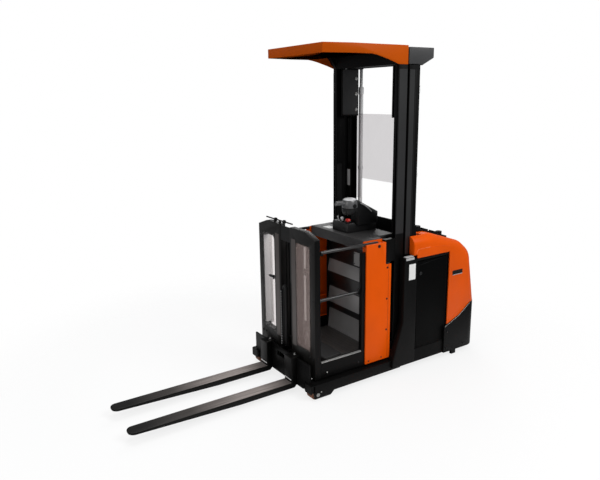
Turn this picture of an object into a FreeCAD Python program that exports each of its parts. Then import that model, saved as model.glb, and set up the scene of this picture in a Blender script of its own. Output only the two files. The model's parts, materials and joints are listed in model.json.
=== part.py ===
import FreeCAD, Part
import os
import re
import Sketcher

# A high-level order picking truck for very narrow aisles, in millimetres.
#
# +X runs from the fork tips to the drive unit, +Z is up and Y = 0 is the centre line. The operator
# stands in a cab between the forks and the mast, and the cab climbs the mast. The origin is on the
# floor below the middle of the truck. Lengths along X are laid out from the heel of the forks, the
# front face of their shanks, so every body is first drawn with the heel at x = 0 and then moved.
# "near" is the -Y side and "far" is the +Y side.

doc = FreeCAD.newDocument("OrderPicker")
sheet = doc.addObject("Spreadsheet::Sheet", "size")

SIZES = {
    # whole truck
    "fork_length": 1150, "frame_front": 100, "mast_front": 892, "tail": 1650, "base_half": 432,
    "base_bottom": 50, "mast_top": 2224, "running_gap": 8, "seat_gap": 0.3, "bore_gap": 0.05,
    # forks and carriage
    "fork_width": 95, "fork_spread": 432, "fork_low": 33, "fork_thick": 42, "fork_tip_thick": 14,
    "shank_thick": 45, "shank_rise": 8, "carriage_inset": 64, "carriage_top": 252,
    "carriage_low": 50, "carriage_thick": 12, "wing_low": 80, "wing_chamfer": 12,
    "arm_thick": 16, "arm_drop": 15, "arm_low": 100, "hook_deep": 18,
    # support legs and load wheels
    "leg_front": 64, "leg_inset": 20, "leg_width": 100, "leg_top": 115, "leg_low": 42, "leg_toe": 15,
    "leg_rise_gap": 53, "fork_side": 14, "wheel_inset": 24, "load_wheel_radius": 42,
    "load_wheel_width": 62, "load_axle_radius": 10, "wheel_room": 12,
    # chassis
    "shroud_thick": 54, "shroud_lead": 52, "shroud_toe_lead": 94, "shroud_bend": 402,
    "shroud_rise": 20, "shroud_lag": 70, "shroud_chamfer": 30, "plate": 12, "sill_high": 105,
    "sill_deep": 38, "rail_top": 870, "rail_high": 24, "pillar_wide": 40, "recess": 16,
    "hatch_lap": 19, "hatch_thick": 16, "hatch_gap": 8, "hinge_radius": 5, "hinge_deep": 10,
    "battery_low": 90, "battery_inset": 82, "battery_drop": 26, "battery_gap": 5,
    "battery_back_gap": 43, "foot_lead": 22, "foot_long": 45, "foot_wide": 22, "foot_clear": 8,
    # bumper and hood
    "bumper_wall": 14, "bumper_radius": 110, "bumper_reach": 373, "bumper_start": 263,
    "bumper_mid": 210, "bumper_mid_rise": 67, "bumper_rear": 90, "bumper_rise": 149,
    "bumper_crown": 6, "hood_lead": 153, "hood_wall": 8, "hood_top": 1030, "hood_flat_run": 85,
    "hood_slope": 200, "hood_slope_fall": 105, "hood_rear": 94, "hood_rear_fall": 192,
    "hood_foot": 22, "hood_inset": 6, "hood_round": 70, "hood_bend": 150, "hood_seam": 6,
    "hood_wing": 110, "hood_wing_gap": 7, "tray_thick": 14, "tray_lead": 30, "tray_length": 320,
    "tray_inset": 126, "knob_radius": 24, "knob_high": 24, "knob_lead": 30, "rib_long": 62,
    "rib_wide": 40, "rib_high": 10, "rib_inset": 4,
    "hood_pin_radius": 4, "hood_pin_rise": 22, "knuckle_y": 95, "knuckle_wide": 40,
    # drive unit and castors
    "drive_reach": 200, "drive_radius": 125, "drive_width": 90, "drive_axle_radius": 25,
    "motor_radius": 105, "motor_high": 330, "turret_radius": 120, "turret_gap": 18,
    "turret_high": 40, "drive_side": 26, "hole_room": 25, "castor_reach": 242,
    "castor_inset": 102, "castor_radius": 40, "castor_width": 30, "castor_trail": 18,
    "castor_side": 5, "castor_plate": 8, "castor_stem": 10, "castor_axle": 6, "castor_hub": 24,
    "stem_length": 100,
    # mast
    "mast_deep": 100, "mast_web": 12, "mast_flange": 37, "mast_side": 2, "tie_high": 110,
    "tie_thick": 12, "inner_wide": 56, "inner_web": 8, "slide_gap": 5, "pad_high": 140,
    "cylinder_radius": 17, "cylinder_inset": 40, "rod_radius": 12, "cylinder_drop": 134,
    "board_top": 1104, "head_deep": 225,
    "head_gap": 5, "head_high": 111, "head_chamfer": 92, "head_step": 44, "head_wall": 8,
    # cab
    "frame_deep": 45, "floor_gap": 8, "floor_deep": 123, "floor_sheet": 6, "mat_thick": 6,
    "mat_margin": 14, "side_gap": 13, "guard_gap": 14, "post_deep": 83, "post_wide": 40,
    "post_rise": 2, "bracket_thick": 12, "bracket_margin": 13, "bracket_high": 354,
    "bracket_drop": 351, "plate_lead": 63, "roller_axle": 10, "panel_lead": 265,
    "panel_notch": 87, "panel_strip_gap": 35, "panel_fall": 165, "panel_gap": 18,
    "panel_thick": 10, "cheek_room": 34, "cheek_thick": 5, "cheek_rise": 16, "cheek_lead": 6,
    "shelf_rise": 12, "side_pillar": 30, "pillar_deep": 60, "pillar_lead": 30,
    # front frames, fork mast and windows
    "frame_top": 1152, "frame_slope_wide": 115, "frame_slope_drop": 40, "frame_inner": 63,
    "window_inner": 149, "window_margin": 65,
    "window_low": 325, "window_head": 100, "frame_round": 30, "pane_thick": 6, "pane_lap": 10,
    "rail_gap": 7, "rail_deep": 46, "rail_wide": 34, "rail_inner": 56, "fork_rail_low": 96,
    "fork_rail_drop": 87, "rod_rise": 22, "rod_thick": 5, "rod_near": 80, "rod_far": 270,
    "rod_post": 14, "hose_radius": 11, "hose_reach": 14, "hose_lead": 8,
    "hose_low": 262, "hose_top": 700,
    # desk and controls
    "desk_deep": 250, "desk_top": 1042, "desk_thick": 24, "desk_lip": 76, "tongue_gap": 12,
    "knee_deep": 90, "knee_step": 18, "pan_deep": 84,
    "knee_fold": 750, "knee_high": 100, "knee_pitch": 130, "box_lead": 50, "box_back_gap": 10,
    "box_high": 58, "box_near": 80, "box_far": 110, "box_brow_deep": 64, "box_brow": 16,
    "steer_y": -60, "steer_half": 45, "cap_lead": 82, "cap_radius": 55, "cap_high": 72,
    "cap_crown": 20, "cap_rise": 186, "lever_radius": 12, "lever_reach": 76, "lever_drop": 14,
    "grip_gap": 6, "grip_high": 245, "grip_fall": 106, "grip_round": 30,
    # gate bars
    "bar_radius": 11, "bar_top_z": 1020, "bar_low_z": 676, "bar_gap": 11, "bar_inset": 115,
    "bar_low_inset": 15, "pin_radius": 6, "bar_eye": 24, "bar_drop": 22,
    # overhead guard and screen
    "guard_lag": 95, "nose_inset": 35, "guard_splay": 206, "guard_rim": 62, "guard_rise": 126,
    "guard_arc_lead": 235, "guard_arc_low": 124, "gusset_deep": 95, "roof_thick": 5, "rim_wall": 5,
    "strut_wide": 50, "strut_high": 30, "lamp_radius": 28, "lamp_high": 14, "lamp_lead": 258,
    "lamp_y": -150, "screen_inset": 7, "screen_thick": 6, "screen_low_drop": 1002,
    "screen_cut_drop": 840, "screen_drop": 336, "screen_leg_wide": 90, "screen_round": 25,
}

# What follows from the sizes: each name here stands for its formula wherever it is used.
FITS = {
    # widths, as distances from the centre line
    "cab_half": "base_half - shroud_thick - side_gap",
    "leg_half": "base_half - leg_inset",
    "carriage_half": "base_half - carriage_inset",
    "inside_half": "base_half - recess",
    "sill_inner": "inside_half - sill_deep",
    "shroud_inner": "base_half - shroud_thick",
    "battery_half": "base_half - battery_inset",
    "hood_half": "base_half - hood_inset",
    "tray_half": "hood_half - tray_inset",
    "castor_y": "base_half - castor_inset",
    "mast_half": "cab_half + mast_side",
    "window_outer": "cab_half - window_margin",
    "cheek_outer": "cab_half - cheek_room",
    "cheek_inner": "cheek_outer - cheek_thick",
    "desk_half": "cheek_inner - seat_gap",
    "tongue_half": "mast_half - mast_web - slide_gap - inner_wide - bracket_thick - tongue_gap",
    "wing_inner": "mast_half + hood_wing_gap",
    "guard_nose": "cab_half - nose_inset",
    "screen_half": "cab_half - screen_inset",
    "screen_leg": "screen_half - screen_leg_wide",
    # places along X, from the forks' heel
    "load_wheel_x": "leg_front + wheel_inset",
    "leg_rise": "load_wheel_x + load_wheel_radius + wheel_room + leg_rise_gap",
    "floor_front": "frame_front + frame_deep",
    "rail_front": "floor_front + rail_gap",
    "hose_x": "frame_front - hose_lead",
    "bar_front": "floor_front + bar_gap",
    "guard_front": "frame_front + guard_lag",
    "guard_side_x": "guard_front + guard_splay",
    "guard_back": "mast_front - guard_gap",
    "post_front": "guard_back - post_deep",
    "guard_arc_x": "post_front - guard_arc_lead",
    "lamp_x": "guard_back - lamp_lead",
    "panel_front": "post_front - panel_lead",
    "panel_back": "post_front - panel_notch",
    "panel_strip": "post_front - panel_strip_gap",
    "pillar_front": "panel_front - pillar_lead",
    "bar_pivot_x": "panel_front + bar_inset",
    "bar_low_pivot_x": "pillar_front + bar_low_inset",
    "desk_front": "post_front - desk_deep",
    "knee_front": "post_front - knee_deep",
    "pan_front": "rail_front + rail_deep + 10",
    "pan_back": "post_front - 10",
    "box_front": "desk_front + box_lead",
    "box_back": "guard_back - box_back_gap",
    "brow_back": "box_front + box_brow_deep + box_brow",
    "cap_x": "desk_front + cap_lead",
    "grip_front": "cap_x + cap_radius - 5",
    "grip_back": "guard_back - grip_gap",
    "plate_front": "guard_back - plate_lead",
    "shroud_front": "mast_front - shroud_lead",
    "shroud_toe": "shroud_front - shroud_toe_lead",
    "shroud_back": "mast_front + shroud_lag",
    "rail_middle": "mast_front + mast_deep / 2",
    "bracket_back": "rail_middle + bracket_margin",
    "mast_back": "mast_front + mast_deep",
    "stage_front": "mast_front + mast_web + slide_gap",
    "stage_back": "mast_back - mast_web - slide_gap",
    "cylinder_x": "mast_back + tie_thick + cylinder_radius + 3",
    "head_front": "guard_back + running_gap",
    "head_back": "mast_front + head_deep",
    "hood_front": "mast_front + hood_lead",
    "hood_wing_x": "hood_front - hood_wing",
    "bulkhead_x": "hood_front + 1",
    "hatch_front": "shroud_back + hatch_gap",
    "hatch_pin_x": "hatch_front + hatch_thick / 2",
    "hatch_back": "bumper_front + hatch_lap",
    "bumper_front": "tail - bumper_reach",
    "bumper_mid_x": "tail - bumper_mid",
    "bumper_rear_x": "tail - bumper_rear",
    "hood_flat": "hood_front + hood_flat_run",
    "hood_slope_x": "tail - hood_slope",
    "hood_rear_x": "tail - hood_rear",
    "hood_foot_x": "tail - hood_foot",
    "hood_pin_x": "tail - bumper_wall / 2",
    "tray_front": "hood_front + tray_lead",
    "tray_back": "tray_front + tray_length",
    "battery_front": "bulkhead_x + plate + battery_gap",
    "battery_back": "hatch_back - battery_back_gap",
    "drive_x": "tail - drive_reach",
    "castor_x": "tail - castor_reach",
    # heights
    "shank_top": "carriage_top + shank_rise",
    "arm_top": "carriage_top - arm_drop",
    "stage_low": "leg_top + running_gap",
    "floor_low": "leg_top + floor_gap",
    "floor_top": "floor_low + floor_deep",
    "pan_top": "floor_top - pan_deep",
    "under_top": "floor_top - floor_sheet",
    "panel_low": "leg_top + panel_gap",
    "bar_pin_z": "bar_top_z - bar_drop",
    "panel_top": "bar_top_z",
    "cheek_top": "panel_top + cheek_rise",
    "pillar_top": "desk_top - desk_lip",
    "panel_step": "panel_top - panel_fall",
    "window_top": "frame_top - window_head",
    "fork_rail_top": "frame_top - fork_rail_drop",
    "sill_top": "base_bottom + sill_high",
    "rail_low": "rail_top - rail_high",
    "shroud_top": "rail_top + shroud_rise",
    "battery_top": "rail_low - battery_drop",
    "bumper_mid_top": "bumper_start + bumper_mid_rise",
    "bumper_top": "bumper_start + bumper_rise",
    "hood_pin_z": "bumper_top + hood_pin_rise",
    "hood_slope_z": "hood_top - hood_slope_fall",
    "hood_rear_z": "hood_top - hood_rear_fall",
    "turret_low": "2 * drive_radius + turret_gap",
    "deck_low": "turret_low + turret_high",
    "post_top": "mast_top + post_rise",
    "plate_low": "mast_top - bracket_drop",
    "bracket_top": "floor_top + bracket_high",
    "cylinder_top": "mast_top - cylinder_drop",
    "head_low": "mast_top + head_gap",
    "head_top": "head_low + head_high",
    "guard_top": "mast_top + guard_rise",
    "box_top": "desk_top + box_high",
    "cap_low": "desk_top + cap_rise",
    "cap_top": "cap_low + cap_high",
    "screen_low": "mast_top - screen_low_drop",
    "screen_cut": "mast_top - screen_cut_drop",
    "screen_top": "mast_top - screen_drop",
    "roller_radius": "mast_deep / 2 - mast_web - slide_gap - inner_web - seat_gap",
    "upper_bar_y": "cab_half - bar_radius - 3",
    "lower_bar_y": "cab_half - side_pillar - bar_radius - 3",
    "cylinder_y": "mast_half - cylinder_radius - cylinder_inset",
}

for row, (alias, value) in enumerate(SIZES.items(), start=1):
    sheet.set(f"A{row}", alias)
    sheet.set(f"B{row}", str(value))
    sheet.setAlias(f"B{row}", alias)
doc.recompute()

HEEL = "(fork_length - tail) / 2"
NEAR = -1
FAR = 1
SIDES = (("near", NEAR), ("far", FAR))
parts = {}


def bind(formula):
    """Turn a formula of names into one of the sheet's cells alone."""
    def cells(word):
        name = word.group(0)
        return f"({bind(FITS[name])})" if name in FITS else "size." + name
    return re.sub(r"[a-z_]{3,}", cells, str(formula))


def amount(formula):
    """The value of a formula, for a choice that is made in code."""
    numbers = re.sub(r"size\.([a-z_]+)", lambda word: str(sheet.get(word.group(1))), bind(formula))
    return FreeCAD.Units.Quantity(numbers).Value


def tie(thing, **formulas):
    """Bind an object's properties to formulas; x, y and z stand for its place."""
    for name, formula in formulas.items():
        path = ".Placement.Base." + name if name in ("x", "y", "z") else name
        thing.setExpression(path, bind(formula))
    return thing


def across(side, inner, outer):
    """The low and high Y of something that lies between two distances from the centre line."""
    if side == FAR:
        return inner, outer
    return f"-({outer})", f"-({inner})"


def block(name, low, high):
    """A box between two corners, each an X from the heel, a Y and a Z."""
    box = doc.addObject("Part::Box", name)
    size = [f"({top}) - ({bottom})" for bottom, top in zip(low, high)]
    tie(box, Length=size[0], Width=size[1], Height=size[2])
    return tie(box, x=f"{HEEL} + {low[0]}", y=low[1], z=low[2])


def rod(name, radius, length, place, axis="z"):
    """A cylinder along an axis from its low end, placed as an X from the heel, a Y and a Z."""
    bar = doc.addObject("Part::Cylinder", name)
    turn = {"x": ((0, 1, 0), 90), "y": ((1, 0, 0), -90), "z": ((0, 0, 1), 0)}[axis]
    bar.Placement.Rotation = FreeCAD.Rotation(FreeCAD.Vector(*turn[0]), turn[1])
    tie(bar, Radius=radius, Height=length)
    return tie(bar, x=f"{HEEL} + {place[0]}", y=place[1], z=place[2])


def joined(name, *pieces):
    """One solid made of pieces that overlap or share a face."""
    fuse = doc.addObject("Part::MultiFuse", name)
    fuse.Shapes = list(pieces)
    fuse.Refine = True
    return fuse


def grouped(name, *pieces):
    """One node of several solids that do not touch."""
    group = doc.addObject("Part::Compound", name)
    group.Links = list(pieces)
    return group


def cut(name, base, *tools):
    """A base with tools taken out of it."""
    tool = tools[0] if len(tools) == 1 else joined(name + "_tools", *tools)
    piece = doc.addObject("Part::Cut", name)
    piece.Base = base
    piece.Tool = tool
    return piece


def origin_plane(body, role):
    """One of a body's own origin planes."""
    return [item for item in body.Origin.OriginFeatures if item.Role == role][0]


def draw_loop(sketch, corners):
    """Draw a closed outline with each corner bound to its two formulas."""
    first = sketch.GeometryCount
    count = len(corners)
    start = [FreeCAD.Vector(index, index % 3, 0) for index in range(count)]
    for index in range(count):
        sketch.addGeometry(Part.LineSegment(start[index], start[(index + 1) % count]))
    for index in range(count):
        following = first + (index + 1) % count
        sketch.addConstraint(Sketcher.Constraint("Coincident", first + index, 2, following, 1))
    for index, corner in enumerate(corners):
        for kind, formula in zip(("DistanceX", "DistanceY"), corner):
            line = first + index
            here = getattr(start[index], kind[-1].lower())
            order = sketch.addConstraint(Sketcher.Constraint(kind, -1, 1, line, 1, here))
            label = f"{kind[-1].lower()}_{line}"
            sketch.renameConstraint(order, label)
            sketch.setExpression(".Constraints." + label, bind(formula))


def profile(name, plane, outline, length, holes=(), midplane=False):
    """A body padded from an outline and its holes, all drawn from the heel."""
    body = doc.addObject("PartDesign::Body", name)
    sketch = body.newObject("Sketcher::SketchObject", name + "_outline")
    sketch.AttachmentSupport = [(origin_plane(body, plane + "_Plane"), "")]
    sketch.MapMode = "FlatFace"
    for loop in (outline, *holes):
        draw_loop(sketch, loop)
    pad = body.newObject("PartDesign::Pad", name + "_pad")
    pad.Profile = sketch
    pad.Midplane = midplane
    pad.setExpression("Length", bind(length))
    sketch.Visibility = False
    return tie(body, x=HEEL)


def rounded(body, radius, chosen):
    """Fillet the edges of a body for which chosen(edge) is true."""
    doc.recompute()
    base = body.Tip
    names = [f"Edge{index + 1}" for index, edge in enumerate(base.Shape.Edges) if chosen(edge)]
    fillet = body.newObject("PartDesign::Fillet", body.Name + f"_round_{len(body.Group)}")
    fillet.Base = (base, names)
    fillet.setExpression("Radius", bind(radius))
    return body


def runs(edge, axis):
    """Whether an edge is a straight one along X, Y or Z."""
    ends = edge.Vertexes
    if len(ends) < 2 or edge.Curve.TypeId != "Part::GeomLine":
        return False
    step = ends[1].Point - ends[0].Point
    return abs(abs(getattr(step, axis)) - step.Length) < 1e-6


def keep(name, piece):
    """Name a finished sub-part."""
    piece.Label = name
    parts[name] = piece
    return piece


def side_plate(name, side, inner, outer, outline, holes=()):
    """A plate along the truck, drawn in X and Z, between two distances from the centre line."""
    body = profile(name, "XZ", outline, f"({outer}) - ({inner})", holes)
    return tie(body, y=outer if side == FAR else f"-({inner})")


def cross_plate(name, front, thick, outline, holes=()):
    """A plate across the truck, drawn in Y and Z, from its front face backwards."""
    body = profile(name, "YZ", outline, thick, holes)
    return tie(body, x=f"{HEEL} + {front}")


def floor_plate(name, low, thick, outline, holes=()):
    """A level plate, drawn in X and Y, from its underside up."""
    body = profile(name, "XY", outline, thick, holes)
    return tie(body, z=low)


def rectangle(left, right, low, high):
    """The corners of a rectangle."""
    return [(left, low), (right, low), (right, high), (left, high)]


def make_fork(label, side):
    """An L-shaped fork: a tapering blade, a heel and a shank that hooks over the carriage."""
    inner = "fork_spread / 2 - fork_width"
    outer = "fork_spread / 2"
    top = "fork_low + fork_thick"
    outline = [
        ("0 - fork_length", f"{top} - fork_tip_thick"),
        ("0 - fork_length * 0.35", "fork_low"),
        ("shank_thick - 20", "fork_low"),
        ("shank_thick", "fork_low + 20"),
        ("shank_thick", "shank_top"),
        ("0", "shank_top"),
        ("0", top),
        ("0 - fork_length", top),
    ]
    blade = side_plate(f"fork_{label}_blade", side, inner, outer, outline)
    tip = -amount("fork_length")
    rounded(blade, "fork_width * 0.42", lambda edge: runs(edge, "z")
            and abs(edge.CenterOfMass.x - tip) < 1)
    low, high = across(side, inner, outer)
    hook = block(f"fork_{label}_hook", ("shank_thick", low, "carriage_top + seat_gap"),
                 ("shank_thick + carriage_thick + hook_deep", high, "shank_top"))
    return joined(f"fork_{label}", blade, hook)


for label, side in SIDES:
    keep(f"fork_{label}", make_fork(label, side))


def make_carriage():
    """The fork carriage: a notched plate, two arms through the frames' gap, and its guide blocks."""
    between = "leg_half - leg_width - running_gap"
    right = [
        (f"{between} - wing_chamfer", "carriage_low"), (between, "carriage_low + wing_chamfer"),
        (between, "wing_low"), ("carriage_half - wing_chamfer", "wing_low"),
        ("carriage_half", "wing_low + wing_chamfer"), ("carriage_half", "carriage_top"),
    ]
    outline = right + [(f"0 - ({across_y})", up) for across_y, up in reversed(right)]
    window = rectangle("0 - fork_width / 2", "fork_width / 2", "carriage_top - 70",
                       "carriage_top - 35")
    plate = cross_plate("carriage_plate", "shank_thick", "carriage_thick", outline, [window])
    pieces = [plate]
    for label, side in SIDES:
        arm = "hose_reach + hose_radius + running_gap"
        low, high = across(side, arm, f"{arm} + arm_thick")
        back = "rail_front + rail_deep - rail_wide / 4"
        pieces.append(block(f"carriage_arm_{label}", ("shank_thick + carriage_thick", low, "arm_low"),
                            (back, high, "arm_top")))
        low, high = across(side, f"{arm} + arm_thick",
                           "rail_inner + rail_wide - rail_wide / 4 - seat_gap")
        pieces.append(block(f"carriage_guide_{label}",
                            ("rail_front + rail_wide / 4 + seat_gap", low, "arm_low + 20"),
                            ("rail_front + rail_deep - rail_wide / 4 - seat_gap", high, "arm_top")))
    return joined("carriage", *pieces)


keep("fork_carriage", make_carriage())


def make_legs():
    """The two support legs, each a box beam with an open fork end for its load wheel and axle."""
    legs = []
    for label, side in SIDES:
        inner = "leg_half - leg_width"
        outline = [
            ("leg_front", "leg_toe"), ("leg_rise", "leg_toe"), ("leg_rise + 30", "leg_low"),
            ("shroud_front", "leg_low"), ("shroud_front", "leg_top"), ("leg_front", "leg_top"),
        ]
        beam = side_plate(f"leg_{label}", side, inner, "leg_half", outline)
        low, high = across(side, f"{inner} + fork_side", "leg_half - fork_side")
        pocket = block(f"leg_{label}_pocket", ("leg_front - 10", low, "0"),
                       ("load_wheel_x + load_wheel_radius + wheel_room", high, "leg_top - 6"))
        forked = cut(f"leg_{label}_open", beam, pocket)
        low, high = across(side, f"{inner} + 4", "leg_half - 4")
        axle = rod(f"leg_{label}_axle", "load_axle_radius", "leg_width - 8",
                   ("load_wheel_x", low, "load_wheel_radius"), "y")
        legs.append(joined(f"leg_{label}_whole", forked, axle))
    return grouped("legs", *legs)


keep("support_legs", make_legs())


def make_wheel(name, radius, width, bore, place):
    """A roller on a level axle across the truck, from its side of low Y."""
    tread = rod(name + "_tread", radius, width, place, "y")
    hole = rod(name + "_bore", bore, f"{width} + 2", (place[0], f"{place[1]} - 1", place[2]), "y")
    return cut(name, tread, hole)


for label, side in SIDES:
    middle = "leg_half - leg_width / 2"
    low, high = across(side, f"{middle} - load_wheel_width / 2", f"{middle} + load_wheel_width / 2")
    wheel = make_wheel(f"load_{label}", "load_wheel_radius", "load_wheel_width",
                       "load_axle_radius + bore_gap", ("load_wheel_x", low, "load_wheel_radius"))
    keep(f"load_wheel_{label}", wheel)


def round_tail(body, radius):
    """Round the two upright edges at a body's rear end."""
    doc.recompute()
    end = body.Tip.Shape.BoundBox.XMax
    return rounded(body, radius, lambda edge: runs(edge, "z")
                   and abs(edge.CenterOfMass.x - end) < 1)


def hatch_pin_y(side):
    """The line of a side hatch's hinge pin."""
    return f"{side} * (inside_half - hatch_thick / 2)"


def make_chassis():
    """The welded chassis: floor plate, bulkhead, hatch sills, top rails and corner pillars."""
    outline = rectangle("shroud_front", "tail - bumper_wall", "0 - inside_half", "inside_half")
    floor = round_tail(floor_plate("chassis_floor", "base_bottom", "plate", outline),
                       "bumper_radius")
    tools = [rod("turret_hole", "drive_radius + hole_room", "plate + 2",
                 ("drive_x", "0", "base_bottom - 1"))]
    for label, side in SIDES:
        tools.append(rod(f"castor_{label}_hole", "castor_radius + castor_trail + 14", "plate + 2",
                         ("castor_x", f"{side} * castor_y", "base_bottom - 1")))
    pieces = [cut("chassis_floor_open", floor, *tools)]
    tools = []
    pieces.append(block("bulkhead", ("bulkhead_x", "0 - sill_inner", "base_bottom"),
                        ("bulkhead_x + plate", "sill_inner", "rail_top")))
    deck = block("motor_deck", ("hatch_back", "0 - sill_inner", "deck_low"),
                        ("tail - bumper_radius - bumper_wall", "sill_inner", "deck_low + plate"))
    deck = cut("motor_deck_open", deck,
               rod("motor_hole", "motor_radius + running_gap", "plate + 4",
                   ("drive_x", "0", "deck_low - 2")))
    pieces.append(deck)
    pieces.append(block("drive_wall", ("hatch_back", "0 - sill_inner", "base_bottom"),
                        ("hatch_back + plate", "sill_inner", "rail_top")))
    for label, side in SIDES:
        low, high = across(side, "inside_half - foot_wide", "inside_half")
        pieces.append(block(f"foot_{label}", ("castor_x - foot_lead", low, "foot_clear"),
                            ("castor_x - foot_lead + foot_long", high, "base_bottom")))
        low, high = across(side, "sill_inner", "inside_half")
        pieces.append(block(f"sill_{label}", ("shroud_back", low, "base_bottom"),
                            ("hatch_back + hatch_gap + pillar_wide", high, "sill_top")))
        pieces.append(block(f"rail_{label}", ("shroud_back", low, "rail_low"),
                            ("hatch_back + hatch_gap + pillar_wide", high, "rail_top")))
        pieces.append(block(f"rear_pillar_{label}", ("hatch_back + hatch_gap", low, "sill_top"),
                            ("hatch_back + hatch_gap + pillar_wide", high, "rail_low")))
        for index, low in enumerate(("sill_top - hinge_deep - 1", "rail_low - 1")):
            tools.append(rod(f"hatch_{label}_bore_{index}", "hinge_radius + bore_gap",
                             "hinge_deep + 2", ("hatch_pin_x", hatch_pin_y(side), low)))
        centre = f"{side} * castor_y"
        low = "castor_radius * 2 + castor_plate + 10"
        tube = rod(f"castor_{label}_tube", "castor_hub", f"deck_low - ({low})",
                   ("castor_x", centre, low))
        bore = rod(f"castor_{label}_tube_bore", "castor_stem + bore_gap", "stem_length + 10",
                   ("castor_x", centre, f"{low} - 5"))
        pieces.append(cut(f"castor_{label}_bearing", tube, bore))
    return cut("chassis_bored", joined("chassis_frame", *pieces), *tools)


keep("chassis_frame", make_chassis())


def make_shrouds():
    """The two shoulders that box in the foot of the mast beside the cab."""
    shrouds = []
    for label, side in SIDES:
        outline = [
            ("shroud_toe", "leg_top"), ("shroud_back", "leg_top"),
            ("shroud_back", "shroud_top - shroud_chamfer"),
            ("shroud_back - shroud_chamfer", "shroud_top"), ("shroud_front", "shroud_top"),
            ("shroud_front", "shroud_bend"),
        ]
        wall = side_plate(f"shroud_{label}", side, "shroud_inner", "base_half", outline)
        low_outline = rectangle("shroud_toe", "shroud_back", "base_bottom + plate", "leg_top")
        foot = side_plate(f"shroud_foot_{label}", side, "leg_half", "base_half", low_outline)
        shrouds.append(joined(f"shroud_{label}_whole", wall, foot))
    return grouped("shrouds", *shrouds)


keep("mast_shrouds", make_shrouds())


def make_hatch(label, side):
    """A side hatch over the battery, with its hinge pin along the front edge."""
    low, high = across(side, "inside_half - hatch_thick", "inside_half")
    leaf = block(f"hatch_{label}",
                 ("hatch_front", low, "sill_top + hatch_gap"),
                 ("hatch_back", high, "rail_low - hatch_gap"))
    pin = rod(f"hatch_{label}_pin", "hinge_radius", "rail_low - sill_top + 2 * hinge_deep",
              ("hatch_pin_x", hatch_pin_y(side), "sill_top - hinge_deep"))
    return joined(f"hatch_{label}_whole", leaf, pin)


for label, side in SIDES:
    keep(f"battery_hatch_{label}", make_hatch(label, side))

keep("battery", block("battery", ("battery_front", "0 - battery_half", "battery_low"),
                      ("battery_back", "battery_half", "battery_top")))
battery_feet = [block(f"battery_foot_{index}",
                      ("battery_front + 15", "0 - battery_half + 30 + " + offset,
                       "base_bottom + plate"),
                      ("battery_back - 15",
                       "0 - battery_half + 90 + " + offset, "battery_low"))
                for index, offset in enumerate(("0", "2 * battery_half - 120"))]
keep("battery_rests", grouped("battery_rests", *battery_feet))


def tub(name, back, half, low, high, radius):
    """A solid with rounded rear corners in plan."""
    outline = rectangle("bumper_front", back, f"0 - ({half})", half)
    return round_tail(floor_plate(name, low, f"({high}) - ({low})", outline), radius)


def make_bumper():
    """The rear bumper: a U-shaped wall with a swept top edge."""
    outer = tub("bumper_outer", "tail", "base_half", "base_bottom", "bumper_top + 30",
                "bumper_radius")
    inner = tub("bumper_inner", "tail - bumper_wall", "base_half - bumper_wall", "base_bottom - 1",
                "bumper_top + 31", "bumper_radius - bumper_wall")
    wall = cut("bumper_wall_ring", outer, inner)
    sweep = [
        ("bumper_front - 20", "bumper_start - 8"), ("bumper_front", "bumper_start"),
        ("bumper_mid_x", "bumper_mid_top"), ("bumper_rear_x", "bumper_top"),
        ("tail + 20", "bumper_top + bumper_crown"), ("tail + 20", "bumper_top + 80"),
        ("bumper_front - 20", "bumper_top + 80"),
    ]
    wedge = profile("bumper_wedge", "XZ", sweep, "2 * base_half + 40", midplane=True)
    pieces = [cut("bumper_shell", wall, wedge)]
    for label, side in SIDES:
        low, high = across(side, "knuckle_y", "knuckle_y + knuckle_wide")
        lump = block(f"knuckle_{label}", ("tail - bumper_wall", low, "bumper_top - bumper_wall"),
                     ("tail", high, "hood_pin_z + bumper_wall / 2"))
        low, high = across(side, "knuckle_y - 1", "knuckle_y + knuckle_wide + 1")
        bore = rod(f"knuckle_{label}_bore", "hood_pin_radius + bore_gap", "knuckle_wide + 2",
                   ("hood_pin_x", low, "hood_pin_z"), "y")
        pieces.append(cut(f"knuckle_{label}_bored", lump, bore))
    return joined("bumper", *pieces)


keep("rear_bumper", make_bumper())


def hood_line(inset):
    """The hood's upper side view from its rear foot to its front edge, drawn in by an inset."""
    return [
        (f"hood_foot_x - {inset}", "bumper_top + bumper_crown + hood_seam"),
        (f"hood_rear_x - {inset}", f"hood_rear_z - {inset} / 2"),
        (f"hood_slope_x - {inset} / 2", f"hood_slope_z - {inset}"),
        ("hood_flat", f"hood_top - {inset}"),
        (f"hood_wing_x + {inset}", f"hood_top - {inset}"),
    ]


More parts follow.
